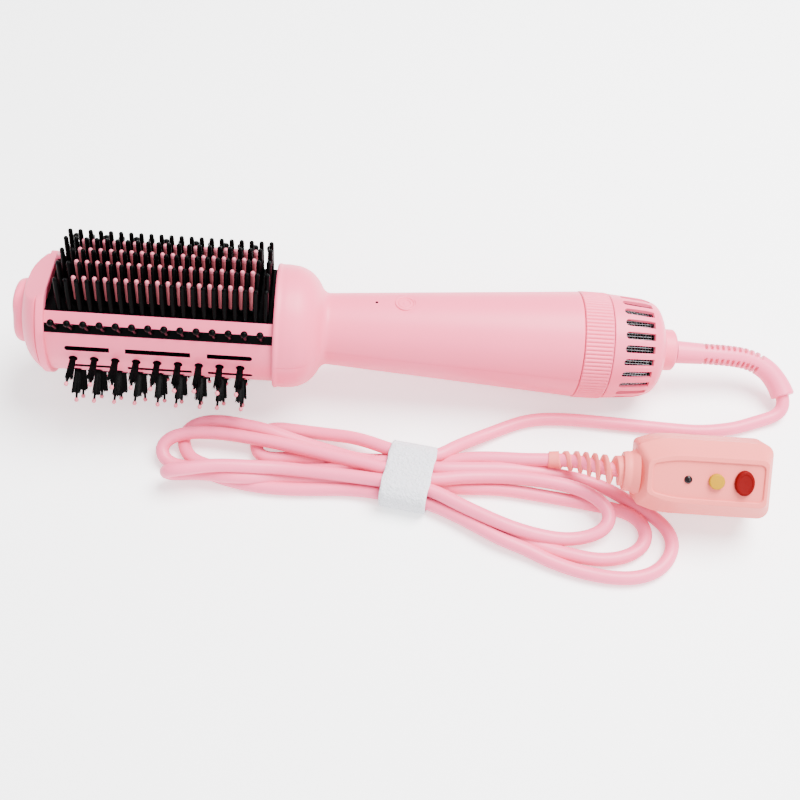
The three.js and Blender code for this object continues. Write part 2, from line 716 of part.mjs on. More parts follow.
// ---------------------------------------------------------------- assembly
function hotAirBrush() {
  const brush = new THREE.Group();
  brush.add(...headPieces(), ...heaterPieces(), ...handlePieces());
  brush.add(
    mesh("swivel_bush", swivelBush(), black()),
    mesh("power_button", powerButton(), pink()),
    mesh("control_ring", controlRing(), pink()),
    ...rotorPieces(),
  );
  brush.position.set(NOSE_X, 0, NOSE_HEIGHT);
  brush.rotation.set(-ROLL, TILT, 0, "YXZ");

  const plug = new THREE.Group();
  plug.add(...plugPieces());
  plug.add(
    mesh("test_button", testButton(), finish(0xf5c400, 0.35)),
    mesh("reset_button", resetButton(), finish(0xc8202c, 0.35)),
  );
  plug.position.set(...PLUG_AT);
  plug.rotation.set(PLUG_ROLL, 0, PLUG_YAW, "ZYX");

  const whole = new THREE.Group();
  whole.add(brush, plug, ...cordPieces());
  whole.position.copy(SHIFT);
  return whole;
}

export default hotAirBrush();
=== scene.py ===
import math
import random

import bpy
import numpy as np
from mathutils import Matrix, Vector
from mathutils.geometry import delaunay_2d_cdt


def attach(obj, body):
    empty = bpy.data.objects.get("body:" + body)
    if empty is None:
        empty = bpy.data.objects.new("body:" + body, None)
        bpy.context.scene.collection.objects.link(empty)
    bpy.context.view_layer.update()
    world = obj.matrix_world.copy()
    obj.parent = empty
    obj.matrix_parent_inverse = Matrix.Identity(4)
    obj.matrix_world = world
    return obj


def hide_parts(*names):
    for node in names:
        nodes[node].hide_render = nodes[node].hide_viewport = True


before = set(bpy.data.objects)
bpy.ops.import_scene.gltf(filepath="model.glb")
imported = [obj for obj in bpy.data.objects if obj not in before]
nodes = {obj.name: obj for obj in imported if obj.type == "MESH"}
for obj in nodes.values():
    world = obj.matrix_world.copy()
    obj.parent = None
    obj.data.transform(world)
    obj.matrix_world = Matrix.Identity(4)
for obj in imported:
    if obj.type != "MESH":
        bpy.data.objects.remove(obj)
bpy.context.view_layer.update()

MM = 0.001
SHIFT = np.array([0.09, 0.78, 0.0])

# Stations along the brush and radii, measured from the tip of the nose.
KNOB_END, RIM_START, RIM_END, BELL_FACE = 5.5, 14.9, 18.0, 118.0
NECK, LED_X, BUTTON_X, HANDLE_END = 141.6, 163.9, 177.0, 258.9
RING_END, COVER_BACK, COLLAR_END = 272.8, 300.6, 307.0
BARREL_R, BELL_R = 26.0, 28.9
NECK_R, HANDLE_R, COLLAR_R = 16.6, 24.9, 9.9
WALL = 1.6

TILT, ROLL = math.radians(5.2), math.radians(9.0)
NOSE_X, NOSE_HEIGHT = -152.87, 50.1
BRUSH = (
    Matrix.Translation(SHIFT + (NOSE_X, 0.0, NOSE_HEIGHT))
    @ Matrix.Rotation(TILT, 4, "Y") @ Matrix.Rotation(-ROLL, 4, "X")
)
PLUG_AT = (155.4, -72.3, 26.1)
LENS_X, TEST_BUTTON_X, RESET_BUTTON_X = -8.0, 4.0, 15.8
PLUG_YAW, PLUG_ROLL = math.radians(-3.9), math.radians(42.0)
PLUG = (
    Matrix.Translation(SHIFT + PLUG_AT)
    @ Matrix.Rotation(PLUG_YAW, 4, "Z") @ Matrix.Rotation(PLUG_ROLL, 4, "X")
)
LAYOUT = Matrix.Translation(SHIFT)


# --- materials
def set_inputs(node, **values):
    """Sets a shader node's inputs. An underscore stands for a space in an input's name."""
    for name, value in values.items():
        node.inputs[name.replace("_", " ")].default_value = value
    return node


def material(name, color, roughness, metallic=0.0, grain=900.0, bump=0.04, spread=0.03,
             sheen=0.0, specular=0.5, patches=45.0, relief=0.0004):
    """A moulded surface: a fine grain in its height and slow changes of tone and roughness."""
    made = bpy.data.materials.new(name)
    made.use_nodes = True
    tree = made.node_tree
    shader = tree.nodes["Principled BSDF"]
    set_inputs(shader, Metallic=metallic, Sheen_Weight=sheen, Specular_IOR_Level=specular)

    def add(kind, **values):
        return set_inputs(tree.nodes.new(f"ShaderNode{kind}"), **values)

    place = add("TexCoord")
    slow = add("TexNoise", Scale=patches, Detail=3.0)
    tone = add("MapRange", To_Min=1.0 - spread, To_Max=1.0 + spread)
    tint = add("HueSaturation", Color=(*color, 1.0))
    fine = add("TexNoise", Scale=grain, Detail=4.0)
    rough = add("MapRange", To_Min=max(0.05, roughness - 0.07), To_Max=min(1.0, roughness + 0.07))
    height = add("Bump", Strength=bump, Distance=relief)
    for start, output, end, goal in (
        (place, "Object", slow, "Vector"), (slow, "Fac", tone, "Value"),
        (tone, "Result", tint, "Value"), (tint, "Color", shader, "Base Color"),
        (place, "Object", fine, "Vector"), (fine, "Fac", rough, "Value"),
        (rough, "Result", shader, "Roughness"), (fine, "Fac", height, "Height"),
        (height, "Normal", shader, "Normal"),
    ):
        tree.links.new(start.outputs[output], end.inputs[goal])
    return made


PINK = material("shell_pink", (0.79, 0.112, 0.210), 0.42, specular=0.3)
HOT_PINK = material("comb_pink", (0.33, 0.072, 0.090), 0.45, specular=0.2)
# Pale pink: the real colour of the pin balls, and painted highlight on the tips of the heated
# teeth.
BALL_PINK_AND_TIP_HIGHLIGHT = material("ball_pink_and_tip_highlight", (0.56, 0.135, 0.185), 0.35, specular=0.3)
BLACK = material("bristle_black", (0.0006, 0.0006, 0.0007), 0.25, grain=1500.0, specular=0.03)
# Black for the real black inner parts, and painted shade on the inside faces of the barrel and
# inlet cover and behind the filter.
BLACK_TRIM_AND_SHADE = material("trim_black", (0.0006, 0.0005, 0.0006), 0.7, specular=0.02)
CORD_PINK = material("cord_pink", (0.79, 0.125, 0.245), 0.40, grain=500.0, specular=0.35)
PLUG_PINK = material("plug_pink", (0.71, 0.138, 0.126), 0.5, grain=700.0, bump=0.08, specular=0.25)
STRAP = material("strap_white", (0.64, 0.65, 0.70), 0.95, grain=900.0, bump=1.0, sheen=0.3,
                 specular=0.1, spread=0.12, patches=420.0, relief=0.0012)
STEEL = material("steel", (0.42, 0.43, 0.45), 0.30, metallic=1.0, grain=1800.0)
COPPER = material("copper", (0.72, 0.36, 0.17), 0.35, metallic=1.0)
MICA = material("mica_board", (0.52, 0.42, 0.29), 0.65, spread=0.12)
PLATE = material("heater_plate", (0.50, 0.38, 0.26), 0.5, metallic=0.4)
CIRCUIT = material("circuit_board", (0.02, 0.16, 0.05), 0.45)
LENS = material("lamp_lens", (0.004, 0.001, 0.002), 0.10, specular=0.25)
YELLOW = material("button_yellow", (0.36, 0.18, 0.0), 0.35, specular=0.05)
RED = material("button_red", (0.11, 0.001, 0.0015), 0.35, specular=0.06)


# --- mesh tools
def add_object(name, data):
    made = bpy.data.objects.new(name, data)
    bpy.context.scene.collection.objects.link(made)
    return made


def moved(points, turn):
    """Points carried along by a matrix."""
    return points @ np.array(turn.to_3x3()).T + np.array(turn.translation)


def distances(path):
    """How far along a path each of its points lies."""
    return np.concatenate([[0], np.cumsum(np.linalg.norm(np.diff(path, axis=0), axis=1))])


class Build:
    """Collects the points and faces of one piece, in millimetres."""

    def __init__(self):
        self.points = []
        self.faces = []
        self.paints = []
        self.count = 0

    def add(self, points, faces, paint=0):
        """Adds points, and faces that count from the first of them."""
        self.face([tuple(i + self.count for i in face) for face in faces], paint)
        self.points.append(np.asarray(points, float))
        self.count += len(points)

    def face(self, faces, paint):
        """Adds faces between any of the piece's points."""
        self.faces.extend(faces)
        self.paints.extend([paint] * len(faces))

    def make(self, name, place, materials, sharp=40.0):
        """Makes the Blender object. Edges that turn by more than sharp degrees stay sharp."""
        mesh = bpy.data.meshes.new(name)
        points = moved(np.concatenate(self.points), place)
        mesh.from_pydata((points * MM).tolist(), [], self.faces)
        for one in materials:
            mesh.materials.append(one)
        mesh.polygons.foreach_set("material_index", self.paints)
        mesh.validate()
        mesh.shade_smooth()
        mesh.set_sharp_from_angle(angle=math.radians(sharp))
        return add_object(name, mesh)


def fillet(profile, size, steps=4):
    """Rounds the inner corners of an open outline by a distance, or by one distance a corner."""
    sizes = size if isinstance(size, (list, tuple)) else [size] * len(profile)
    made = [np.array(profile[0], float)]
    for before, corner, after, wish in zip(profile, profile[1:], profile[2:], sizes[1:]):
        a, b, c = (np.array(p, float) for p in (before, corner, after))
        back, on = a - b, c - b
        cut = min(wish, 0.45 * np.linalg.norm(back), 0.45 * np.linalg.norm(on))
        start, end = b + back / np.linalg.norm(back) * cut, b + on / np.linalg.norm(on) * cut
        for i in range(steps + 1):
            t = i / steps
            made.append((1 - t) ** 2 * start + 2 * t * (1 - t) * b + t**2 * end)
    made.append(np.array(profile[-1], float))
    return made


def rings(build, stations, segments, close=False, paint=0):
    """Skins a list of rings, each an array of the same number of points."""
    count = len(stations)
    points = np.concatenate(stations)
    faces = []
    for i in range(count if close else count - 1):
        for j in range(segments):
            k = (j + 1) % segments
            n = (i + 1) % count
            faces.append((i * segments + j, i * segments + k, n * segments + k, n * segments + j))
    if not close:
        faces.append(tuple(range(segments))[::-1])
        faces.append(tuple((count - 1) * segments + j for j in range(segments)))
    build.add(points, faces, paint)


def lathe(build, profile, segments=96, close=False, paint=0, wave=None):
    """Turns an outline of (x, radius) about the X axis. wave changes a radius by x and angle."""
    angles = np.linspace(0, 2 * np.pi, segments, endpoint=False)
    stations = []
    for x, r in profile:
        radius = np.full(segments, r) if wave is None else wave(x, r, angles)
        flat = np.stack([-radius * np.sin(angles), radius * np.cos(angles)], 1)
        stations.append(np.column_stack([np.full(segments, x), flat]))
    rings(build, stations, segments, close, paint)


def frames_along(path):
    """For each point of a path, two vectors square to it that turn as little as they can."""
    path = np.asarray(path, float)
    ahead = np.gradient(path, axis=0)
    ahead /= np.linalg.norm(ahead, axis=1)[:, None]
    side = np.cross(ahead[0], (0, 0, 1.0))
    side /= np.linalg.norm(side)
    sides = [side]
    for direction in ahead[1:]:
        side = sides[-1] - direction * (sides[-1] @ direction)
        sides.append(side / np.linalg.norm(side))
    sides = np.array(sides)
    return sides, np.cross(ahead, sides)


def sweep(build, path, radius, segments):
    """A round bar along a path. radius gets the distance along it and the angles round it."""
    path = np.asarray(path, float)
    along = distances(path)
    side, up = frames_along(path)
    angles = np.linspace(0, 2 * np.pi, segments, endpoint=False)
    stations = []
    for point, s, a, b in zip(path, along, side, up):
        r = np.broadcast_to(radius(s, angles), angles.shape)[:, None]
        stations.append(point + r * (np.cos(angles)[:, None] * a + np.sin(angles)[:, None] * b))
    rings(build, stations, segments)


def mix(a, b, start, end, t):
    """The point at t on the way from a, at start, to b, at end."""
    return (end - t) / (end - start) * a + (t - start) / (end - start) * b


def smooth_path(points, step, soften=0):
    """A centripetal Catmull-Rom line through the points, with a point every step. Each pass of
    soften moves every point halfway to its neighbours' middle."""
    p = np.asarray(points, float)
    p = np.vstack([2 * p[0] - p[1], p, 2 * p[-1] - p[-2]])
    line = []
    for i in range(1, len(p) - 2):
        p0, p1, p2, p3 = p[i - 1], p[i], p[i + 1], p[i + 2]
        t0 = 0.0
        t1 = t0 + np.linalg.norm(p1 - p0) ** 0.5
        t2 = t1 + np.linalg.norm(p2 - p1) ** 0.5
        t3 = t2 + np.linalg.norm(p3 - p2) ** 0.5
        for t in np.linspace(t1, t2, 24, endpoint=False):
            a1, a2, a3 = mix(p0, p1, t0, t1, t), mix(p1, p2, t1, t2, t), mix(p2, p3, t2, t3, t)
            b1, b2 = mix(a1, a2, t0, t2, t), mix(a2, a3, t1, t3, t)
            line.append(mix(b1, b2, t1, t2, t))
    line.append(p[-2])
    line = np.array(line)
    along = distances(line)
    marks = np.linspace(0, along[-1], max(3, int(along[-1] / step) + 1))
    line = np.stack([np.interp(marks, along, line[:, k]) for k in range(3)], 1)
    for _ in range(soften):
        line[1:-1] = 0.5 * line[1:-1] + 0.25 * (line[:-2] + line[2:])
    return line


def skin(build, outline, holes, wrap, inward, grid, lining=0, edge_paint=0):
    """A thin wall with holes. Outline and holes are flat loops of (u, v); wrap turns (u, v) and a
    depth into a point. The grid's points keep the wall round."""
    loops = [outline, *holes]
    flat, edges = [], []
    for loop in loops:
        first = len(flat)
        flat.extend(loop)
        edges.extend((first + i, first + (i + 1) % len(loop)) for i in range(len(loop)))
    flat.extend(grid)
    vectors = [Vector((float(u), float(v))) for u, v in flat]
    done = delaunay_2d_cdt(vectors, edges, [], 2, 1e-5)
    spots = np.array([[p.x, p.y] for p in done[0]])
    triangles = [tuple(f) for f in done[2]]
    centres = np.array([spots[list(tri)].mean(0) for tri in triangles])
    kept = inside(centres, outline)
    for hole in holes:
        kept &= ~inside(centres, hole)
    keep = [tri for tri, stays in zip(triangles, kept) if stays]
    sides = dict.fromkeys((tri[i - 1], tri[i]) for tri in keep for i in (1, 2, 0))
    rim = [side for side in sides if side[::-1] not in sides]
    count = len(spots)
    top = np.array([wrap(u, v, 0.0) for u, v in spots])
    low = np.array([wrap(u, v, inward) for u, v in spots])
    below = count + build.count
    build.add(np.concatenate([top, low]), [tri[::-1] for tri in keep])
    build.face([tuple(i + below for i in tri) for tri in keep], lining)
    above = below - count
    build.face([(a + above, b + above, b + below, a + below) for a, b in rim], edge_paint)


def inside(points, loop):
    """Which of the points lie inside a closed loop."""
    loop = np.asarray(loop, float)
    x, y = points[:, 0], points[:, 1]
    low, high = loop.min(0), loop.max(0)
    near = (x >= low[0]) & (y >= low[1]) & (x <= high[0]) & (y <= high[1])
    hit = np.zeros(len(points), bool)
    for (x1, y1), (x2, y2) in zip(loop, np.roll(loop, -1, 0)):
        if y1 != y2:
            crosses = ((y1 > y) != (y2 > y)) & (x < (x2 - x1) * (y - y1) / (y2 - y1) + x1)
            hit ^= crosses & near
    return hit


def slot_loop(u0, u1, v, half, round_start, round_end):
    """A long hole along u, with round or square ends."""
    loop = []
    for edge, sign, is_round in ((u0, 1, round_start), (u1, -1, round_end)):
        if is_round:
            turns = [math.radians(90 * sign + 180 * i / 7) for i in range(8)]
            loop += [(edge + sign * half + half * math.cos(a), v + half * math.sin(a))
                     for a in turns]
        else:
            loop += [(edge, v + sign * half), (edge, v - sign * half)]
    return loop


def round_loop(u, v, half_u, half_v, steps=18):
    """A round or oval hole."""
    turns = [2 * math.pi * i / steps for i in range(steps)]
    return [(u + half_u * math.cos(a), v + half_v * math.sin(a)) for a in turns]


def finish_piece(piece, body, slot, *stands_for):
    """Names the body that a piece rides on and the CAD nodes that it stands for. The slot, its
    material, is not used.
    """
    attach(piece, body)
    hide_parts(*stands_for)
    return piece


def brush_piece(build, name, node, slot, paints, sharp=40.0):
    """Makes a piece of the brush's body."""
    finish_piece(build.make(name, BRUSH, paints, sharp), "brush", slot, node)


def turned_piece(name, profile, at, place, paint, segments=32, scale=(1.0, 1.0), sharp=40.0):
    """A small part turned about a vertical line, such as a button or a lens."""
    build = Build()
    turn = Matrix.Translation((at, 0.0, 0.0)) @ Matrix.Diagonal((*scale, 1.0, 1.0))
    shaft(build, turn, profile, segments)
    return build.make(name, place, [paint], sharp=sharp)


def shaft(build, turn, levels, segments, paint=0):
    """A round pin from (radius, height) levels; turn places it."""
    angles = np.linspace(0, 2 * np.pi, segments, endpoint=False)
    stations = []
    for r, z in levels:
        ring = np.stack([r * np.cos(angles), r * np.sin(angles), np.full(segments, z)], 1)
        stations.append(moved(ring, turn))
    rings(build, stations, segments, paint=paint)


def rounded_plate(half_x, half_y, corner):
    """The outline of a flat plate with rounded corners."""
    loop = []
    for sx, sy, start in ((1, 1, 0), (-1, 1, 90), (-1, -1, 180), (1, -1, 270)):
        for i in range(4):
            a = math.radians(start + 30 * i)
            loop.append((sx * (half_x - corner) + corner * math.cos(a),
                         sy * (half_y - corner) + corner * math.sin(a)))
    return np.array(loop)


def stack(build, outline, levels, at, turn=Matrix()):
    """Rings of one outline, each pulled in by an inset at a height; turn places them."""
    stations = []
    reach = np.abs(outline).max(0)
    for inset, z in levels:
        flat = outline * ((reach - inset) / reach) + np.array(at)
        stations.append(moved(np.column_stack([flat, np.full(len(flat), z)]), turn))
    rings(build, stations, len(outline))


# --- camera, floor and light
CAMERA_AT = Vector((25.30, -331.26, 453.5)) * MM
CAMERA_PITCH = math.radians(35.0)
CAMERA_HEADING = math.radians(0.45)
LENS_MM = 51.12
WHITE = (1.0, 1.0, 1.0, 1.0)


def camera():
    data = bpy.data.cameras.new("camera")
    data.lens = LENS_MM
    data.sensor_width = 36.0
    data.clip_start = 0.01
    made = add_object("camera", data)
    made.location = CAMERA_AT
    made.rotation_euler = (CAMERA_PITCH, 0.0, CAMERA_HEADING)
    bpy.context.scene.camera = made


def area_light(name, at, towards, size, power):
    data = bpy.data.lights.new(name, "AREA")
    data.shape = "DISK"
    data.size = size
    data.energy = power
    made = add_object(name, data)
    made.location = at
    made.rotation_euler = (Vector(towards) - Vector(at)).to_track_quat("-Z", "Y").to_euler()


def studio():
    world = bpy.data.worlds.new("studio")
    world.use_nodes = True
    set_inputs(world.node_tree.nodes["Background"], Color=WHITE, Strength=1.45)
    bpy.context.scene.world = world
    area_light("key", (0.45, 0.15, 1.05), (0.0, 0.0, 0.0), 0.8, 56.0)
    area_light("front", (0.5, -1.0, 0.9), (0.05, 0.0, 0.0), 1.0, 12.0)


def floor():
    """White paper that glows a little, as the photograph's ground is pure white."""
    mesh = bpy.data.meshes.new("floor")
    half = 6.0
    mesh.from_pydata([(-half, -half, 0), (half, -half, 0), (half, half, 0), (-half, half, 0)],
                     [], [(0, 1, 2, 3)])
    paper = material("floor", (0.93, 0.93, 0.935), 0.7, spread=0.0, bump=0.0)
    shader = paper.node_tree.nodes["Principled BSDF"]
    set_inputs(shader, Emission_Color=WHITE, Emission_Strength=0.8)
    mesh.materials.append(paper)
    add_object("floor", mesh)


camera()
studio()
floor()

# --- the cord
CORD_R = 3.1
BOOT_FOOT = [153.9, -1, 22.2]
BOOT_ROUTE = [
    [155.4, -1, 22.05], [163, -1, 21.3], [172, -1, 20.4], [181, -1.1, 19.3],
    [188, -1.6, 18], [194, -3.2, 16.4], [199.6, -6.6, 14.2], [203.6, -11.4, 11.4],
    [205.9, -16.2, 8.9], [206.5, -19, 7.6],
]
LEAD_ROUTE = [
    [206.7, -20.1, 7], [206.3, -21.9, 5.8], [204.8, -23.8, 4.5], [201.4, -25.5, 3.5],
    [197, -26.8, 3.2], [190, -29.2, 3.2], [183, -31.6, 3.2], [174.9, -33, 3.2],
    [165.2, -33.8, 3.2], [155.9, -33.2, 3.2], [146, -32.1, 3.2], [137.1, -31.1, 3.2],
    [127.5, -30, 3.2], [118.3, -29, 3.2], [108.5, -28, 3.2], [99.3, -27.4, 3.2],
    [88.8, -27.6, 3.2], [81.5, -29, 3.2], [75.2, -31.4, 3.2], [67.5, -35, 3.4],
    [60.3, -38.9, 4.6], [54, -43, 6.4], [48.5, -46.9, 8.3], [44, -50.3, 9.4],
]
TAIL_ROUTE = [
    [44, -54.6, 6.4], [50, -53.4, 7.8], [58, -53.2, 9], [70, -53.8, 9.8],
    [81, -54.8, 10.4], [90.4, -55, 10.9],
]
SLEEVE_ROUTE = [
    [91, -55, 11], [95.8, -55.5, 11.5], [100, -56.9, 13.2], [104.2, -59.6, 16.4],
    [108.4, -63.6, 20.6], [112, -67.1, 24.2], [115, -69.1, 25.9], [117.4, -69.7, 26.1],
    [122.4, -70.1, 26.1],
]
# The loops of the hank, in the order in which the cord runs through them.
LEFT_SHORT = [
    [12, -46.4, 9.5], [1, -41.4, 7.4], [-12, -38, 5], [-27.5, -34.6, 3.1],
    [-37, -33.6, 3.1], [-43.4, -36.4, 3.1], [-44.9, -42, 3.1], [-43.6, -48.4, 3.1],
    [-37.5, -50.6, 3.1], [-28, -50, 3.1], [-18, -51.4, 3.1], [-6, -54.2, 3.1],
    [6, -57.4, 3.6],
]
RIGHT_MIDDLE = [
    [50, -66, 3.3], [69, -66.4, 3.1], [92.1, -70.4, 3.1], [109, -73.8, 3.1],
    [121, -76.6, 3.1], [129.1, -80.3, 3.1], [133.3, -87, 3.1], [131.6, -94.6, 3.1],
    [123.7, -100.1, 3.1], [112.3, -102, 3.1], [101.2, -100.2, 3.1], [84.6, -95, 3.1],
    [68.1, -86.6, 3.1], [52, -77.6, 3.6],
]
LEFT_FOLD = [
    [2, -62.9, 3.6], [-16, -62, 3.2], [-33.4, -61.4, 3.6], [-45, -63.2, 7],
    [-57.1, -63.6, 8.8], [-66.5, -62.2, 8.4], [-74, -60.9, 6.6], [-80.4, -61.2, 6.2],
    [-84, -62.2, 8.8], [-83.9, -63.4, 12.4], [-80, -64.4, 15], [-73, -63.6, 15.3],
    [-65.5, -62, 14.9], [-56, -61, 13.8], [-45.8, -60.4, 12], [-34, -59.6, 9.8],
    [-22, -60.4, 8.9], [-12, -61.6, 8.9], [0, -63.4, 9.2], [10, -65.3, 9.9],
]
RIGHT_INNER = [
    [52, -79.2, 9.6], [68.2, -87.2, 9], [76.6, -90.2, 8.2], [87.8, -92.4, 6.4],
    [98, -92.8, 4.8], [106.2, -91.8, 5.1], [113.2, -89.4, 6.5], [117, -85, 8],
    [116.8, -80.8, 8.8], [112.6, -75, 9.3], [103.4, -69.4, 9.3], [86.7, -65, 9],
    [69.3, -63, 8.4], [50, -63.9, 9.4],
]
LEFT_OUTER = [
    [8, -57.2, 10], [-0.3, -55.1, 9.7], [-10.4, -52.2, 9.4], [-28.8, -47.2, 9.3],
    [-47.1, -43.1, 9.3], [-63, -40.6, 9.3], [-77.2, -40.6, 9.1], [-85.2, -43, 8.2],
    [-88.8, -47, 6.4], [-87.4, -51.2, 4.6], [-83.4, -54, 3.4], [-76.6, -55.4, 3.1],
    [-67.4, -58, 3.1], [-58, -61.8, 3.1], [-44.9, -65.2, 3.1], [-27.3, -67, 3.1],
    [0.2, -67.2, 3.4],
]
RIGHT_OUTER = [
    [52, -83.2, 4.8], [67.9, -93, 5.2], [79, -97.6, 4.4], [89.9, -103.2, 3.4],
    [106, -108.8, 3.1], [119.8, -110.9, 3.1], [128.1, -110.3, 3.1], [136.9, -106.7, 3.1],
    [143.4, -98.5, 3.1], [144.6, -91.5, 3.1], [142, -85, 3.1], [135.6, -78.5, 3.1],
    [128.1, -72.9, 3.1], [118.5, -66, 3.1], [110.6, -62.4, 3.3], [101, -60.2, 4.2],
    [88.6, -58.8, 6], [71, -58.6, 8.5], [52, -59.4, 9.9],
]
LEFT_MIDDLE = [
    [5, -51.4, 4.2], [-10, -47, 4.6], [-28.8, -41.6, 6.6], [-40, -38, 8.6],
    [-51.5, -35.6, 9.3], [-63, -33, 8.2], [-72.6, -32.6, 5.6], [-78, -34.8, 3.6],
    [-79.6, -38.8, 3.1], [-78.4, -44.4, 3.1], [-75.6, -49.8, 3.1], [-69, -53.6, 3.1],
    [-58, -56.2, 3.1], [-45, -56.8, 3.1], [-28, -57, 3.1], [-12, -57, 4.2],
    [2, -55.6, 7],
]
STRAP_AT, STRAP_YAW, STRAP_HALF = (27.3, -61.7), math.radians(-12.0), 10.7


def in_strap(across, height, along):
    """A point given by its place in the strap: across the bundle, its height and along it."""
    c, s = math.cos(STRAP_YAW), math.sin(STRAP_YAW)
    return [STRAP_AT[0] + c * along - s * across, STRAP_AT[1] + s * along + c * across, height]


# Where each run passes through the strap, as (across, height) on the way in and out, and the
# loop that follows. The first run goes left, the next one right, and so on.
STRAP_RUNS = [
    ((11.0, 10.2), (10.0, 10.2), LEFT_SHORT), ((1.4, 4.4), (-1.0, 4.4), RIGHT_MIDDLE),
    ((-6.0, 4.4), (-4.6, 4.4), LEFT_FOLD), ((-7.0, 10.2), (-7.2, 10.2), RIGHT_INNER),
    ((-1.8, 10.2), (-0.6, 10.2), LEFT_OUTER), ((-10.4, 4.4), (-11.0, 4.4), RIGHT_OUTER),
    ((4.6, 10.2), (7.6, 4.6), LEFT_MIDDLE), ((4.2, 8.6), (9.6, 4.8), TAIL_ROUTE),
]


def cord_route():
    """The whole way from the boot to the plug."""
    route = [*BOOT_ROUTE, *LEAD_ROUTE]
    reach = STRAP_HALF
    for start, end, loop in STRAP_RUNS:
        route += [in_strap(*start, reach), in_strap(*end, -reach), *loop]
        reach = -reach
    return route + SLEEVE_ROUTE[1:]


def cord():
    """The round mains cord. Returns it with its length and its start."""
    line = (smooth_path(cord_route(), 2.0, 5) + SHIFT) * MM
    curve = bpy.data.curves.new("mains_cord", "CURVE")
    curve.dimensions = "3D"
    spline = curve.splines.new("POLY")
    spline.points.add(len(line) - 1)
    for point, spot in zip(spline.points, line):
        point.co = (*spot, 1.0)
    spline.use_smooth = True
    curve.bevel_depth = CORD_R * MM
    curve.bevel_resolution = 5
    curve.use_fill_caps = True
    curve.materials.append(CORD_PINK)
    piece = add_object("mains_cord", curve)
    finish_piece(piece, "cord", "cord_pink", "cord_lead", "cord_hank", "cord_tail")
    return piece, float(distances(line)[-1]), line[0]


def boot():
    """The strain relief at the brush: a smooth base, a slotted stretch and a flared mouth."""
    build = Build()
    step, bare_steps = 0.3, 8
    path = smooth_path([BOOT_FOOT, *BOOT_ROUTE], step)[:-bare_steps]
    long = distances(path)[-1]
    base_r, taper, flare, lip = 5.45, 0.4, 0.5, 0.6
    first_slot, last_slot, flare_from = 12.0, 41.5, 42.0
    slot_pitch, slot_depth, slots_face = 2.68, 1.9, math.radians(35)

    def radius(s, angles):
        r = base_r - taper * min(1.0, s / first_slot)
        if s > flare_from:
            r += flare * ((s - flare_from) / (long - flare_from)) ** 2
        if s > long - lip:
            r -= 0.8 * (s - long + lip)
        if first_slot < s < last_slot:
            phase = (s - first_slot) / slot_pitch % 1.0
            facing = np.clip(np.abs(np.cos(angles - slots_face)) * 3.0 - 1.2, 0, 1)
            return r - slot_depth * facing * (1 if phase > 0.52 else 0)
        return np.full(len(angles), r)

    sweep(build, path, radius, 48)
    piece = build.make("boot", LAYOUT, [CORD_PINK])
    return finish_piece(piece, "cord", "cord_pink", "cord_boot")


def plug_sleeve():
    """The spiral strain relief at the plug: a plain collar, then a spring of widening turns
    with the cord seen between them."""
    build = Build()
    path = smooth_path(SLEEVE_ROUTE, 0.25)
    along = distances(path)
    long, collar, last_ring = along[-1], 4.6, 3.4
    narrow_r, widening, valley_r = 3.75, 3.1, 2.6
    turns, lean, segments = 6.3, 0.1, 40
    pitch = (long - collar) / turns
    angles = np.linspace(0, 2 * np.pi, segments, endpoint=False)
    turn = np.column_stack([lean * np.cos(angles), np.cos(angles), np.sin(angles)])
    stations = []
    for point, s in zip(path, along):
        outer = narrow_r + widening * (s / long)
        phase = ((s - collar) / pitch - angles / (2 * math.pi)) % 1.0
        rib = np.clip(2.2 - np.abs(phase - 0.5) * 7.6, 0, 1) ** 0.45
        plain = s < collar or s > long - last_ring
        radius = outer if plain else valley_r + (outer - valley_r) * rib
        stations.append(point + np.broadcast_to(radius, angles.shape)[:, None] * turn)
    rings(build, stations, segments)
    piece = build.make("plug_spiral_sleeve", LAYOUT, [PLUG_PINK], sharp=50.0)
    return finish_piece(piece, "cord", "plug_pink", "plug_sleeve")


def strap_section(step):
    """The tie's loop round the bundle, seen along it, with the outward direction of each point."""
    back, front, low, high, corner = 15.4, -17.0, 0.3, 14.4, 5.4
    loop, outward = [], []
    for cy, cz, start in ((back - corner, high - corner, 0), (front + corner, high - corner, 90),
                          (front + corner, low + corner, 180), (back - corner, low + corner, 270)):
        for i in range(12):
            a = math.radians(start + 90 * i / 11)
            outward.append((math.cos(a), math.sin(a)))
            loop.append((cy + corner * math.cos(a), cz + corner * math.sin(a)))
    loop, outward = np.array(loop + loop[:1]), np.array(outward + outward[:1])
    along = distances(loop)
    marks = np.arange(0, along[-1] - step / 2, step)
    loop = np.stack([np.interp(marks, along, loop[:, k]) for k in (0, 1)], 1)
    outward = np.stack([np.interp(marks, along, outward[:, k]) for k in (0, 1)], 1)
    return loop, outward


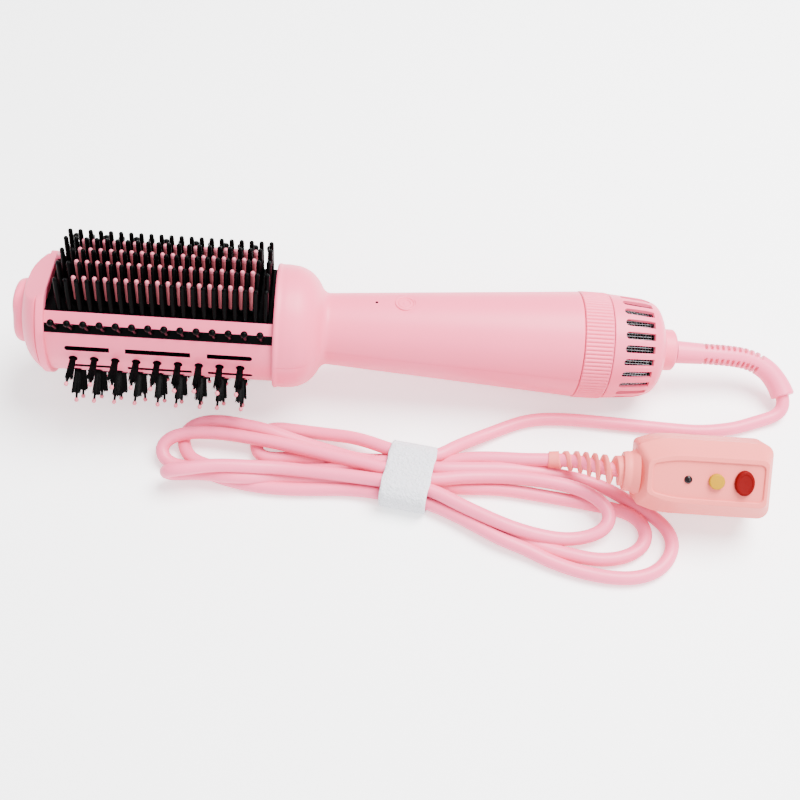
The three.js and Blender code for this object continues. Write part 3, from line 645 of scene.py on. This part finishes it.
def strap():
    """The hook-and-loop tie: a soft napped band round the bundle."""
    build = Build()
    rng = random.Random(4)
    thick, fuzz, swell, step = 1.2, 0.16, 0.35, 0.6
    loop, outward = strap_section(step)
    top = (outward[:, 1] > 0.98)[:, None]
    count = len(loop)
    half = STRAP_HALF
    flat = [(x, 0.0) for x in np.linspace(-half + 1.9, half - 1.9, 25)]
    across = [(-half, 0.55), (-half + 0.3, 0.15), (-half + 1.2, 0.0), *flat, (half - 1.2, 0.0),
              (half - 0.3, 0.15), (half, 0.55)]
    stations = []
    for x, dent in across:
        nap = np.array([rng.uniform(-fuzz, fuzz) for _ in range(count)])[:, None]
        crown = swell * (1 - (x / half) ** 2) * top
        ring = loop - outward * (dent + nap - crown)
        edge = x + (0.35 * np.sin(loop[:, 0] * 0.45 + x) if abs(x) > half - 1.5 else 0.0)
        stations.append(np.column_stack([np.broadcast_to(edge, count), ring]))
    for x, dent in across[::-1]:
        ring = loop - outward * (thick - dent)
        stations.append(np.column_stack([np.full(count, x), ring]))
    rings(build, stations, count, close=True)
    turn = Matrix.Translation(SHIFT + (*STRAP_AT, 0.0)) @ Matrix.Rotation(STRAP_YAW, 4, "Z")
    piece = build.make("hank_tie", turn, [STRAP], sharp=60.0)
    return finish_piece(piece, "cord", "strap_white", "hank_strap")


# --- the plug
PLUG_HALF_X, PLUG_HALF_Y, PLUG_FACE = 29.0, 16.5, 12.5
RESET_BUTTON_HALVES = (4.2, 5.5)
BLADE_X, BLADE_Y, BLADE_HALF_WIDTH, BLADE_HALF_THICKNESS = 7.5, 6.35, 3.15, 0.75


def plug_outline(inset_left, inset_side, inset_right, corner, taper=1.0):
    """The plug seen from its button face: square at the far end, and, by the taper, narrower
    where the cord enters. The insets pull in its sides."""
    x0, x1 = -PLUG_HALF_X + inset_left, PLUG_HALF_X - inset_right
    y = PLUG_HALF_Y - inset_side
    small = 2.6
    middle = y - 5.2 * taper - small * (1.0 - taper)
    loop = []
    for sign in (1, -1):
        half = []
        for i in range(9):
            a = math.radians(90 * i / 8)
            half.append((x1 - corner + corner * math.cos(a), y - corner + corner * math.sin(a)))
        half += [(x0 + 15.0, y), (x0 + 11.0, y - 0.25 * taper), (x0 + 7.0, y - taper)]
        for i in range(6):
            a = math.radians(105 + 75 * i / 5)
            half.append((x0 + small + small * math.cos(a), middle + small * math.sin(a)))
        loop += [(px, sign * py) for px, py in (half if sign > 0 else half[::-1])]
    return np.array(loop)


def plug_shell(name, node, levels, sharp):
    """A half of the plug's case from (insets, height) levels."""
    build = Build()
    stations = []
    for insets, z in levels:
        flat = plug_outline(*insets)
        stations.append(np.column_stack([flat, np.full(len(flat), z)]))
    rings(build, stations, len(stations[0]))
    piece = build.make(name, PLUG, [PLUG_PINK], sharp=sharp)
    return finish_piece(piece, "cord", "plug_pink", node)


def plug_top():
    """The button side: straight walls, a wide slope all round and a sunk panel."""
    levels = [((0.25, 0.25, 0.25, 5.0), -1.35), ((0, 0, 0, 5.0), -1.1), ((0, 0, 0, 5.0), 5.0),
              ((0.3, 0.4, 0.3, 5.0), 5.6), ((3.3, 5.7, 2.9, 3.2), 11.6),
              ((3.5, 5.9, 3.1, 3.1), 12.2), ((3.8, 6.2, 3.4, 3.0), PLUG_FACE),
              ((5.4, 8.0, 4.4, 2.4, 0.6), PLUG_FACE), ((5.7, 8.3, 4.7, 2.3, 0.6), 12.2),
              ((5.8, 8.4, 4.8, 2.2, 0.6), 11.6)]
    return plug_shell("plug_top_shell", "plug_top", levels, 28.0)


def plug_base():
    """The contact side."""
    levels = [((1.6, 1.6, 1.6, 4.0), -PLUG_FACE), ((0.6, 0.6, 0.6, 4.6), -12.1),
              ((0, 0, 0, 5.0), -11.0), ((0, 0, 0, 5.0), -1.9), ((0.25, 0.25, 0.25, 5.0), -1.65)]
    return plug_shell("plug_base_shell", "plug_bottom", levels, 35.0)


def plug_neck():
    """The round shoulder between the sleeve and the plug."""
    build = Build()
    outline = [(-34.6, 3.4), (-34.6, 8.4), (-32.6, 8.9), (-31.2, 8.8), (-28.0, 10.8), (-28.0, 3.4)]
    lathe(build, fillet(outline, [0, 0.5, 1.2, 1.4, 0.2, 0]), 48, close=True)
    piece = build.make("plug_neck_ring", PLUG, [PLUG_PINK], sharp=50.0)
    return finish_piece(piece, "cord", "plug_pink", "plug_neck")


def plug_lamp():
    outline = [(0.0, 10.6), (1.75, 10.6), (1.75, 12.0), (1.2, 12.5), (0.0, 12.7)]
    piece = turned_piece("plug_lamp", fillet(outline, 0.4), LENS_X, PLUG, LENS)
    return finish_piece(piece, "cord", "lamp_lens", "plug_lens")


def plug_test_button():
    outline = [(0.0, 6.0), (3.4, 6.0), (3.4, 13.2), (3.1, 13.7), (0.0, 13.75)]
    piece = turned_piece("plug_test_button", fillet(outline, 0.3), TEST_BUTTON_X, PLUG, YELLOW, 36)
    return finish_piece(piece, "test_button", "button_yellow", "test_button")


def plug_reset_button():
    """An oval button with a slightly hollow top. Its outline's radii are parts of its size."""
    outline = [(0.0, 6.0), (1.0, 6.0), (1.0, 13.0), (0.93, 13.7), (0.78, 13.9), (0.66, 13.7),
               (0.0, 13.6)]
    piece = turned_piece("plug_reset_button", fillet(outline, 0.08), RESET_BUTTON_X, PLUG, RED, 56,
                         RESET_BUTTON_HALVES)
    return finish_piece(piece, "reset_button", "button_red", "reset_button")


def plug_blades():
    """Two flat contacts that point away from the buttons."""
    blades = []
    section = rounded_plate(BLADE_HALF_WIDTH, BLADE_HALF_THICKNESS, 0.3)
    levels = ((0.0, -8.0), (0.0, -26.6), (0.12, -27.6), (0.35, -28.4))
    for number, y in ((1, -BLADE_Y), (2, BLADE_Y)):
        build = Build()
        stack(build, section, levels, (BLADE_X, y))
        piece = build.make(f"plug_contact_{number}", PLUG, [STEEL], sharp=25.0)
        blades.append(finish_piece(piece, "cord", "steel", f"plug_blade_{number}"))
    return blades


# --- the brush head
COMB_TOP, COMB_PITCH = 17.8, 4.51
FIRST_HOT_TOOTH, HOT_TEETH = 31.1, 18
HOT_ROWS = list(zip((-12.9, -4.3, 4.3, 12.9), (33.3, 35.2, 35.2, 33.3)))
COOL_ROWS = list(zip((-17.1, -8.6, 0.0, 8.6, 17.1), (35.2, 37.6, 37.9, 37.6, 35.2)))
TUFT_ANGLES = [99 + 27 * i for i in range(7)]
TUFT_STATIONS = [29.4 + 9.3 * i for i in range(9)]
AIR_SLOT_ANGLES = [85, *(112.5 + 27 * i for i in range(6)), 275]
AIR_SLOT_HALF, TUFT_HOLE = 1.25, (2.0, 1.9)
AIR_SLOTS = [(26.2, 45.8, True, False), (52.8, 81.6, False, False), (89.0, 109.2, False, True)]
STRIP_ANGLE, STRIP_PIN_ANGLE = 63.5, 37.5
STRIP_PINS, FIRST_STRIP_PIN, STRIP_PITCH = 14, 23.3, 6.9
BRISTLES, BRISTLE_FOOT, BRISTLE_TOP, GOLDEN_TURN = 44, 22.5, 37.2, 2.4
PIN_REACH, BALL_R = 41.4, 1.05
PLATE_X, PLATE_HALF = (BELL_FACE + RIM_END) / 2, (BELL_FACE - RIM_END) / 2


def on_barrel(x, arc, depth):
    """arc is in millimetres along the barrel's outside, from the comb's normal to the front."""
    a = arc / BARREL_R
    r = BARREL_R - depth
    return (x, -r * math.sin(a), r * math.cos(a))


def arc_of(degrees):
    """An angle from the comb's normal as a distance round the barrel."""
    return math.radians(degrees) * BARREL_R


def barrel():
    """The round wall under the comb, with air slots and a hole for each tuft."""
    build = Build()
    edge = math.degrees(math.acos(COMB_TOP / BARREL_R))
    low, high = arc_of(edge), arc_of(360 - edge)
    x0, x1 = RIM_START + 0.6, BELL_FACE + 3.0
    outline = [(x0, low), (x1, low)]
    rows = 90
    outline += [(x1, low + (high - low) * i / rows) for i in range(1, rows)]
    outline += [(x1, high), (x0, high)]
    outline += [(x0, high - (high - low) * i / rows) for i in range(1, rows)]
    holes = [slot_loop(u0, u1, arc_of(angle), AIR_SLOT_HALF, round_start, round_end)
             for angle in AIR_SLOT_ANGLES for u0, u1, round_start, round_end in AIR_SLOTS]
    holes += [round_loop(x, arc_of(angle), *TUFT_HOLE) for angle in TUFT_ANGLES
              for x in TUFT_STATIONS]
    grid = [(x, low + (high - low) * i / rows) for i in range(1, rows)
            for x in np.arange(x0 + 4, x1, 5.5)]
    # The wall's inside face and the rims of its holes take the black as painted shade in place of
    # the pink wall's shaded inside.
    skin(build, outline, holes, on_barrel, WALL, grid, 1, 1)
    brush_piece(build, "barrel_wall", "brush_barrel", "shell_pink", [PINK, BLACK_TRIM_AND_SHADE], 45.0)


def peg_levels(foot, tip, r_foot, r_tip):
    """A tapered round peg with a domed tip. foot and tip are heights."""
    centre = tip - r_tip
    dome = [(r_tip * math.cos(a), centre + r_tip * math.sin(a))
            for a in np.radians([22, 45, 66, 84])]
    return [(r_foot, foot), (r_tip, centre), *dome]


def tooth_places(rows, first, count):
    """The tip's height and the place of every tooth in some rows."""
    for y, tip in rows:
        for i in range(count):
            yield tip, Matrix.Translation((first + i * COMB_PITCH, y, 0))


def comb_base():
    """The black plate with the cool teeth and a short collar round each heated tooth."""
    build = Build()
    stack(build, rounded_plate(PLATE_HALF + 0.4, 18.75, 0.4),
          ((0.0, 14.8), (0.0, 17.5), (0.1, 17.75), (0.3, COMB_TOP)), (PLATE_X, 0.0))
    for tip, turn in tooth_places(COOL_ROWS, FIRST_HOT_TOOTH - 1.5 * COMB_PITCH, HOT_TEETH + 3):
        shaft(build, turn, peg_levels(16.5, tip, 1.45, 1.08), 10)
    foot = fillet([(0.0, 17.5), (1.7, 17.5), (1.6, 19.6), (1.25, 20.6), (0.0, 20.6)], 0.4, 2)
    for _, turn in tooth_places(HOT_ROWS, FIRST_HOT_TOOTH, HOT_TEETH):
        shaft(build, turn, foot, 10)
    brush_piece(build, "comb_base", "comb_cover", "bristle_black", [BLACK])


def hot_teeth():
    """The pink teeth, each with a thin shell of paler pink over its last two millimetres as a
    painted highlight.
    """
    build = Build()
    highlight_thick, highlight_long = 0.012, 2.0
    for tip, turn in tooth_places(HOT_ROWS, FIRST_HOT_TOOTH, HOT_TEETH):
        levels = peg_levels(18.0, tip, 0.95, 1.0)
        tip_highlight = [(r + highlight_thick, z) for r, z in levels if z > tip - highlight_long]
        tip_highlight = [(tip_highlight[0][0], tip - 2.2), *tip_highlight, (0.01, tip + highlight_thick)]
        shaft(build, turn, levels, 12)
        # The paler shell over the tip is painted highlight.
        shaft(build, turn, tip_highlight, 12, 1)
    brush_piece(build, "hot_teeth", "heated_comb", "comb_pink", [HOT_PINK, BALL_PINK_AND_TIP_HIGHLIGHT])


def guide_strip(side):
    """A black strip along an edge of the comb with a row of leaning, bulb-headed pins."""
    build = Build()
    stack(build, rounded_plate(PLATE_HALF + 0.6, 2.15, 0.4),
          ((0.0, 25.2), (0.0, 25.95), (0.2, 26.15), (0.5, 26.2)), (PLATE_X, 0.0),
          Matrix.Rotation(math.radians(side * STRIP_ANGLE), 4, "X"))
    foot, foot_r = math.radians(STRIP_ANGLE), 25.4
    lean = Matrix.Rotation(math.radians(side * STRIP_PIN_ANGLE), 4, "X")
    pin = [(1.35, 0.0), (1.1, 1.2), (1.0, 7.0), (0.98, 10.2), (1.2, 10.8), (1.5, 11.5),
           (1.58, 12.2), (1.4, 12.9), (0.95, 13.35), (0.3, 13.5)]
    for i in range(STRIP_PINS):
        x = FIRST_STRIP_PIN + STRIP_PITCH * i
        at = Matrix.Translation((x, -side * math.sin(foot) * foot_r, math.cos(foot) * foot_r))
        shaft(build, at @ lean, pin, 14)
    end = "front" if side > 0 else "rear"
    brush_piece(build, f"{end}_guide_pins", f"{end}_guide_strip", "bristle_black", [BLACK])


def bristle(build, turn, rng, number):
    """One cut bristle, splayed outwards and a little bowed."""
    a = GOLDEN_TURN * number + rng.uniform(-0.3, 0.3)
    spread = math.sqrt((number + 0.5) / BRISTLES)
    foot = np.array([spread * math.cos(a), spread * math.sin(a), BRISTLE_FOOT])
    splay = 1.95 * spread * rng.uniform(0.85, 1.12)
    tip = np.array([splay * math.cos(a + 0.1), splay * math.sin(a + 0.1),
                    BRISTLE_TOP + rng.uniform(-0.6, 0.4)])
    line = np.array([foot, foot + (tip - foot) * np.array([0.3, 0.3, 0.45]), tip])
    stations = []
    for point, r in zip(line, (0.34, 0.32, 0.17)):
        corner = [(point[0] + r * math.cos(t), point[1] + r * math.sin(t), point[2])
                  for t in (0.3, 2.4, 4.5)]
        stations.append(moved(np.array(corner), turn))
    rings(build, stations, 3)


def ball_pin(build, turn, rng, reach):
    """The long pin in the middle of a tuft, leaning a little, with a pink ball."""
    lean_x, lean_y = rng.uniform(-1.4, 1.0), rng.uniform(-0.7, 0.7)
    bend = Matrix(((1, 0, lean_x / 18, -1.3 * lean_x), (0, 1, lean_y / 18, -1.3 * lean_y),
                   (0, 0, 1, 0), (0, 0, 0, 1)))
    place = turn @ bend
    centre = reach - 1.0
    shaft(build, place, [(0.66, 24.0), (0.60, 32.0), (0.56, centre - 0.9)], 8)
    ball = [(BALL_R * math.cos(t), centre + BALL_R * math.sin(t))
            for t in np.radians([-86, -60, -30, 0, 30, 60, 86])]
    shaft(build, place, ball, 12, 1)


def tuft_row(number, angle):
    """Nine tufts in a line. Where a pin would reach the floor it is cut shorter."""
    build = Build()
    rng = random.Random(100 + number)
    for x in TUFT_STATIONS:
        turn = Matrix.Translation((x, 0, 0)) @ Matrix.Rotation(math.radians(angle), 4, "X")
        drop = ((BRUSH @ turn).to_3x3() @ Vector((0, 0, 1))).z
        height = (BRUSH @ Vector((x, 0, 0))).z
        reach = PIN_REACH
        if drop < -0.2:
            reach = min(reach, (height - 0.25) / -drop)
        for bristle_number in range(BRISTLES):
            bristle(build, turn, rng, bristle_number)
        ball_pin(build, turn, rng, reach)
    brush_piece(build, f"bristles_{number}", f"tuft_row_{number}", "bristle_black",
                [BLACK, BALL_PINK_AND_TIP_HIGHLIGHT])


def nose_knob():
    """The knob at the tip, with two hollows for the fingers."""
    build = Build()

    def scoop(x, r, angles):
        """Each hollow runs out slantwise towards the cap."""
        turned = angles - math.radians(62) + 0.16 * (x - 1.0)
        grip = np.clip(np.cos(2 * turned), 0, 1) ** 2.2
        depth = 2.2 * max(0.0, 1.0 - max(0.0, x) / 5.6) ** 0.8
        return r - depth * grip * (r > 9)

    profile = fillet([(0.7, 0.2), (0.35, 8.0), (0.1, 11.2), (1.4, 13.9), (3.2, 14.7), (6.6, 14.7),
                      (6.6, 0.2)], [0, 4, 2.2, 2.2, 1.2, 0.3, 0])
    lathe(build, profile, 120, wave=scoop)
    brush_piece(build, "nose_grip", "nose_knob", "shell_pink", [PINK], 50.0)


def end_cap():
    """The dome and rim round the barrel's end, cut flat on the comb side."""
    build = Build()

    def facet(x, r, angles):
        """Limits a ring to the flat; the lining's flat lies a wall deeper."""
        lining = 1.4 if r < np.interp(x, *np.transpose(outer[1:11])) - 0.8 else 0.0
        limit = 16.9 + 0.56 * (x - KNOB_END) - lining
        flat = limit / np.maximum(np.cos(angles), 1e-6)
        return np.where(np.cos(angles) > 0.2, np.minimum(r, flat), r)

    outer = [(5.6, 8.0), (5.6, 15.4), (7.6, 20.6), (10.2, 23.9), (12.6, 26.0), (13.7, 26.5),
             (13.9, 26.0), (14.3, 26.0), (14.6, 27.85), (17.8, 27.9), (18.0, 27.0), (18.0, 24.2),
             (13.5, 24.2), (8.0, 16.0), (8.0, 8.0)]
    sizes = [0, 1.2, 3, 3, 1.5, 0.3, 0.08, 0.08, 0.35, 0.35, 0.2, 0.1, 1, 1, 0]
    lathe(build, fillet(outer, sizes), 144, close=True, wave=facet)
    brush_piece(build, "head_cap", "end_cap", "shell_pink", [PINK], 32.0)


# --- the handle
BUTTON_R = 19.1
HANDLE_OUTLINE = [(BELL_FACE, 28.3), (BELL_FACE + 0.6, BELL_R), (BELL_FACE + 1.7, BELL_R),
                  (BELL_FACE + 2.3, BELL_R - 0.35), (BELL_FACE + 5, BELL_R - 0.2),
                  (BELL_FACE + 11.2, 28.1), (BELL_FACE + 16.2, 25.6), (BELL_FACE + 19.6, 21.9),
                  (BELL_FACE + 21.6, 18.0), (NECK, NECK_R), (BUTTON_X, BUTTON_R),
                  (HANDLE_END - 0.5, HANDLE_R - 0.05), (HANDLE_END - 0.05, HANDLE_R - 0.4)]
BUTTON_HOLE, LED_HOLE, DISH_R, DISH_DEPTH, SEAM = 4.7, 0.75, 7.6, 0.55, 0.1


def handle_radius():
    """The handle's outer radius as a smooth function of x."""
    bends = [0, 0.5, 0.4, 0.4, 3.2, 3.2, 2.6, 2.2, 1.4, 1.6, 6.0, 0.3, 0]
    line = np.array(fillet(HANDLE_OUTLINE, bends, 8))
    return lambda x: float(np.interp(x, line[:, 0], line[:, 1]))


def handle_stations():
    """Where the shells get a row of points: close together at the bell's lip and at the end."""
    xs = [BELL_FACE + step for step in (0, 0.15, 0.35, 0.6, 0.9, 1.4, 1.75, 2.0)]
    xs += list(np.arange(BELL_FACE + 2.2, NECK + 8, 1.0))
    xs += list(np.arange(NECK + 9, HANDLE_END - 2, 3.0))
    return xs + [HANDLE_END - step for step in (1.2, 0.6, 0.3, 0.05)]


def button_dish():
    """Points for the shallow dish round the power button."""
    return [(BUTTON_X + r * math.cos(t), r * math.sin(t) * math.degrees(1 / BUTTON_R))
            for r in (5.2, 5.8, 6.4, 7.0, DISH_R) for t in np.linspace(0, 6.0, 36)]


def handle_shell(name, start):
    """Half of the handle, from the angle start over 180 degrees. The front one has the holes."""
    build = Build()
    radius = handle_radius()
    xs = handle_stations()
    gap, columns = 0.14, 72
    span = [start + gap + (180.0 - 2 * gap) * i / columns for i in range(columns + 1)]
    outline = [(x, span[0]) for x in xs] + [(xs[-1], a) for a in span[1:-1]]
    outline += [(x, span[-1]) for x in xs[::-1]] + [(xs[0], a) for a in span[-2:0:-1]]
    holes = []
    if name == "front":
        for x, hole, steps in ((BUTTON_X, BUTTON_HOLE, 48), (LED_X, LED_HOLE, 16)):
            holes.append(round_loop(x, 0.0, hole, hole * math.degrees(1 / radius(x)), steps))

    def wrap(x, degrees, depth):
        a = math.radians(degrees)
        away = math.hypot(x - BUTTON_X, a * radius(x)) if abs(degrees) < 40 else 99.0
        sink = DISH_DEPTH * max(0.0, 1 - (away / DISH_R) ** 2) ** 2
        seam = SEAM if min(abs(abs(degrees) - 90), abs(abs(degrees) - 270)) < 0.4 else 0.0
        r = radius(x) - sink - seam - depth
        return (x, -r * math.sin(a), r * math.cos(a))

    grid = [(x, a) for x in xs[1:-1] for a in span[1:-1]] + button_dish()
    skin(build, outline, holes, wrap, WALL, grid)
    brush_piece(build, f"{name}_shell", f"handle_{name}_shell", "shell_pink", [PINK], 38.0)


def button_bezel():
    outline = fillet([(3.75, 16.5), (4.75, 16.5), (4.75, 18.85), (4.35, 19.1), (3.85, 18.9),
                      (3.75, 18.6)], [0, 0.1, 0.25, 0.25, 0.2, 0])
    piece = turned_piece("button_ring", outline, BUTTON_X, BRUSH, PINK, 64, sharp=45.0)
    finish_piece(piece, "brush", "shell_pink", "button_bezel")


def power_button():
    """The button with a ring-shaped groove round its middle."""
    outline = fillet([(0.05, 18.8), (0.95, 18.8), (1.3, 18.25), (2.1, 18.25), (2.4, 18.9),
                      (3.1, 18.85), (3.6, 18.3), (3.6, 15.7), (0.05, 15.7)],
                     [0, 0.2, 0.15, 0.15, 0.2, 0.2, 0.2, 0.1, 0])
    piece = turned_piece("power_key", outline, BUTTON_X, BRUSH, PINK, 64, sharp=45.0)
    finish_piece(piece, "power_button", "shell_pink", "power_button")


def indicator():
    outline = fillet([(0.05, 15.4), (0.8, 15.4), (0.8, 17.9), (0.05, 18.05)], 0.2)
    piece = turned_piece("status_lamp", outline, LED_X, BRUSH, LENS, 16)
    finish_piece(piece, "brush", "lamp_lens", "indicator_lens")


def control_ring():
    """The finely grooved ring behind the handle."""
    build = Build()
    start, end = HANDLE_END + 0.3, RING_END - 0.3
    grooves, groove_depth, lining_r = 84, 0.6, 21.4

    def ribbed(x, r, angles):
        if r < 23 or x < start + 0.4 or x > end - 1.3:
            return np.full(len(angles), r)
        wave = 0.5 + 0.5 * np.cos(angles * grooves)
        return r - groove_depth * (1 - wave**0.3)

    profile = [(start, lining_r), (start, 24.7), (start + 0.35, 25.15), (start + 0.5, 25.2),
               (start + 1.0, 25.2), (end - 1.7, 25.15), (end - 1.3, 25.1), (end - 0.35, 25.0),
               (end, 24.6), (end, lining_r)]
    lathe(build, profile, grooves * 8, close=True, wave=ribbed)
    piece = build.make("grip_ring", BRUSH, [PINK], sharp=50.0)
    finish_piece(piece, "control_ring", "shell_pink", "control_ring")


INLET_SLOTS, INLET_SLOT_ENDS, INLET_SLOT_HALF = 24, (277.8, 292.2), 1.72


def inlet_line():
    """The cover's outline from the ring over the dome and the collar to the cord's hole."""
    outline = [(RING_END, 24.45), (RING_END + 0.3, 24.75), (281.0, 24.2), (290.2, 23.4),
               (296.2, 21.2), (298.9, 16.6), (COVER_BACK - 0.7, 12.2),
               (COVER_BACK - 0.3, COLLAR_R + 0.7), (COVER_BACK + 0.4, COLLAR_R),
               (COLLAR_END - 0.9, COLLAR_R - 0.1), (COLLAR_END, COLLAR_R - 1.1), (COLLAR_END, 6.2)]
    return np.array(fillet(outline, [0, 0.2, 4, 4, 4.5, 3.6, 1.2, 0.6, 0.5, 0.8, 0.8, 0], 7))


def inlet_cover():
    """The vented dome with the collar that the cord swivels in."""
    build = Build()
    line = inlet_line()
    along = distances(line)
    slope = np.gradient(line, axis=0)
    slope /= np.linalg.norm(slope, axis=1)[:, None]
    rows = INLET_SLOTS * 8
    us = list(along[1:-1])
    span = [360.0 * i / rows for i in range(rows + 1)]
    first, last = float(along[0]), float(along[-1])
    loop = [(u, span[0]) for u in (first, *us, last)] + [(last, a) for a in span[1:-1]]
    loop += [(u, span[-1]) for u in (last, *us[::-1], first)] + [(first, a) for a in span[-2:0:-1]]
    per_mm = math.degrees(1 / 23.9)
    start, end = (float(np.interp(x, line[:, 0], along)) for x in INLET_SLOT_ENDS)
    flat = slot_loop(start, end, 0.0, INLET_SLOT_HALF, True, False)
    holes = []
    for i in range(INLET_SLOTS):
        middle = 4.2 + 360.0 / INLET_SLOTS * i
        holes.append([(u, middle + v * per_mm) for u, v in flat])

    def wrap(u, degrees, depth):
        x, r = np.interp(u, along, line[:, 0]), np.interp(u, along, line[:, 1])
        dx, dr = np.interp(u, along, slope[:, 0]), np.interp(u, along, slope[:, 1])
        x, r = x + depth * dr, r - depth * dx
        a = math.radians(degrees)
        return (x, -r * math.sin(a), r * math.cos(a))

    grid = [(u, a) for u in us for a in span[1:-1]]
    # The inside face takes the black as painted shade seen through the slots; the slot rims stay
    # pink.
    skin(build, loop, holes, wrap, 1.3, grid, 1, 0)
    brush_piece(build, "inlet_grille", "inlet_cover", "shell_pink", [PINK, BLACK_TRIM_AND_SHADE])


def inlet_filter():
    """Steel gauze, woven over and under, on a thin black sleeve of painted shade."""
    build = Build()
    start, end = RING_END + 3.0, 293.2
    gauze_r, wave_height, shade_sleeve_r = 18.75, 0.16, 18.3
    wires, step = 92, 1.27
    outline = [(start, shade_sleeve_r), (start, 18.45), (end, 18.45), (end, shade_sleeve_r)]
    # Paint 1 is the black sleeve of painted shade behind the gauze.
    lathe(build, outline, 96, close=True, paint=1)
    wire_r = 0.09
    for i in range(wires):
        a = 2 * math.pi * i / wires
        weave = []
        for k, x in enumerate(np.arange(start, end, step)):
            r = gauze_r + wave_height * (-1) ** (i + k)
            weave.append((x, -r * math.sin(a), r * math.cos(a)))
        sweep(build, weave, lambda s, angles: wire_r, 4)
    for x in np.arange(start, end, step):
        hoop = [(x, -gauze_r * math.sin(a), gauze_r * math.cos(a))
                for a in np.linspace(0, 2 * np.pi, 97)]
        sweep(build, hoop, lambda s, angles: wire_r, 4)
    brush_piece(build, "filter_gauze", "inlet_filter", "steel", [STEEL, BLACK_TRIM_AND_SHADE])


# --- everything together
main_cord, cord_length, cord_start = cord()
boot_piece = boot()
sleeve_piece = plug_sleeve()
strap_piece = strap()
lamp_piece, test_piece, reset_piece = plug_lamp(), plug_test_button(), plug_reset_button()
plug_pieces = [plug_top(), plug_base(), plug_neck(), lamp_piece, *plug_blades()]
tuple(cord_start)

barrel()
comb_base()
hot_teeth()
guide_strip(1)
guide_strip(-1)
for row, row_angle in enumerate(TUFT_ANGLES, 1):
    tuft_row(row, row_angle)
nose_knob()
end_cap()
handle_shell("front", -90.0)
handle_shell("rear", 90.0)
button_bezel()
power_button()
indicator()
control_ring()
inlet_cover()
inlet_filter()

KEPT = [
    (STEEL, ["heater_coil", "thermostat", "thermal_fuse", "board_screw_1", "board_screw_2",
             "motor", "rotor_shaft"]),
    (BLACK_TRIM_AND_SHADE, ["button_switch", "motor_mount", "swivel_bush", "fan_impeller"]),
    (CIRCUIT, ["control_board", "plug_board"]), (PLATE, ["comb_heater"]),
    (MICA, ["heater_frame"]), (PINK, ["tail_sleeve"]), (COPPER, ["trip_coil"]),
]
for paint, kept_nodes in KEPT:
    for node in kept_nodes:
        nodes[node].data.materials.clear()
        nodes[node].data.materials.append(paint)
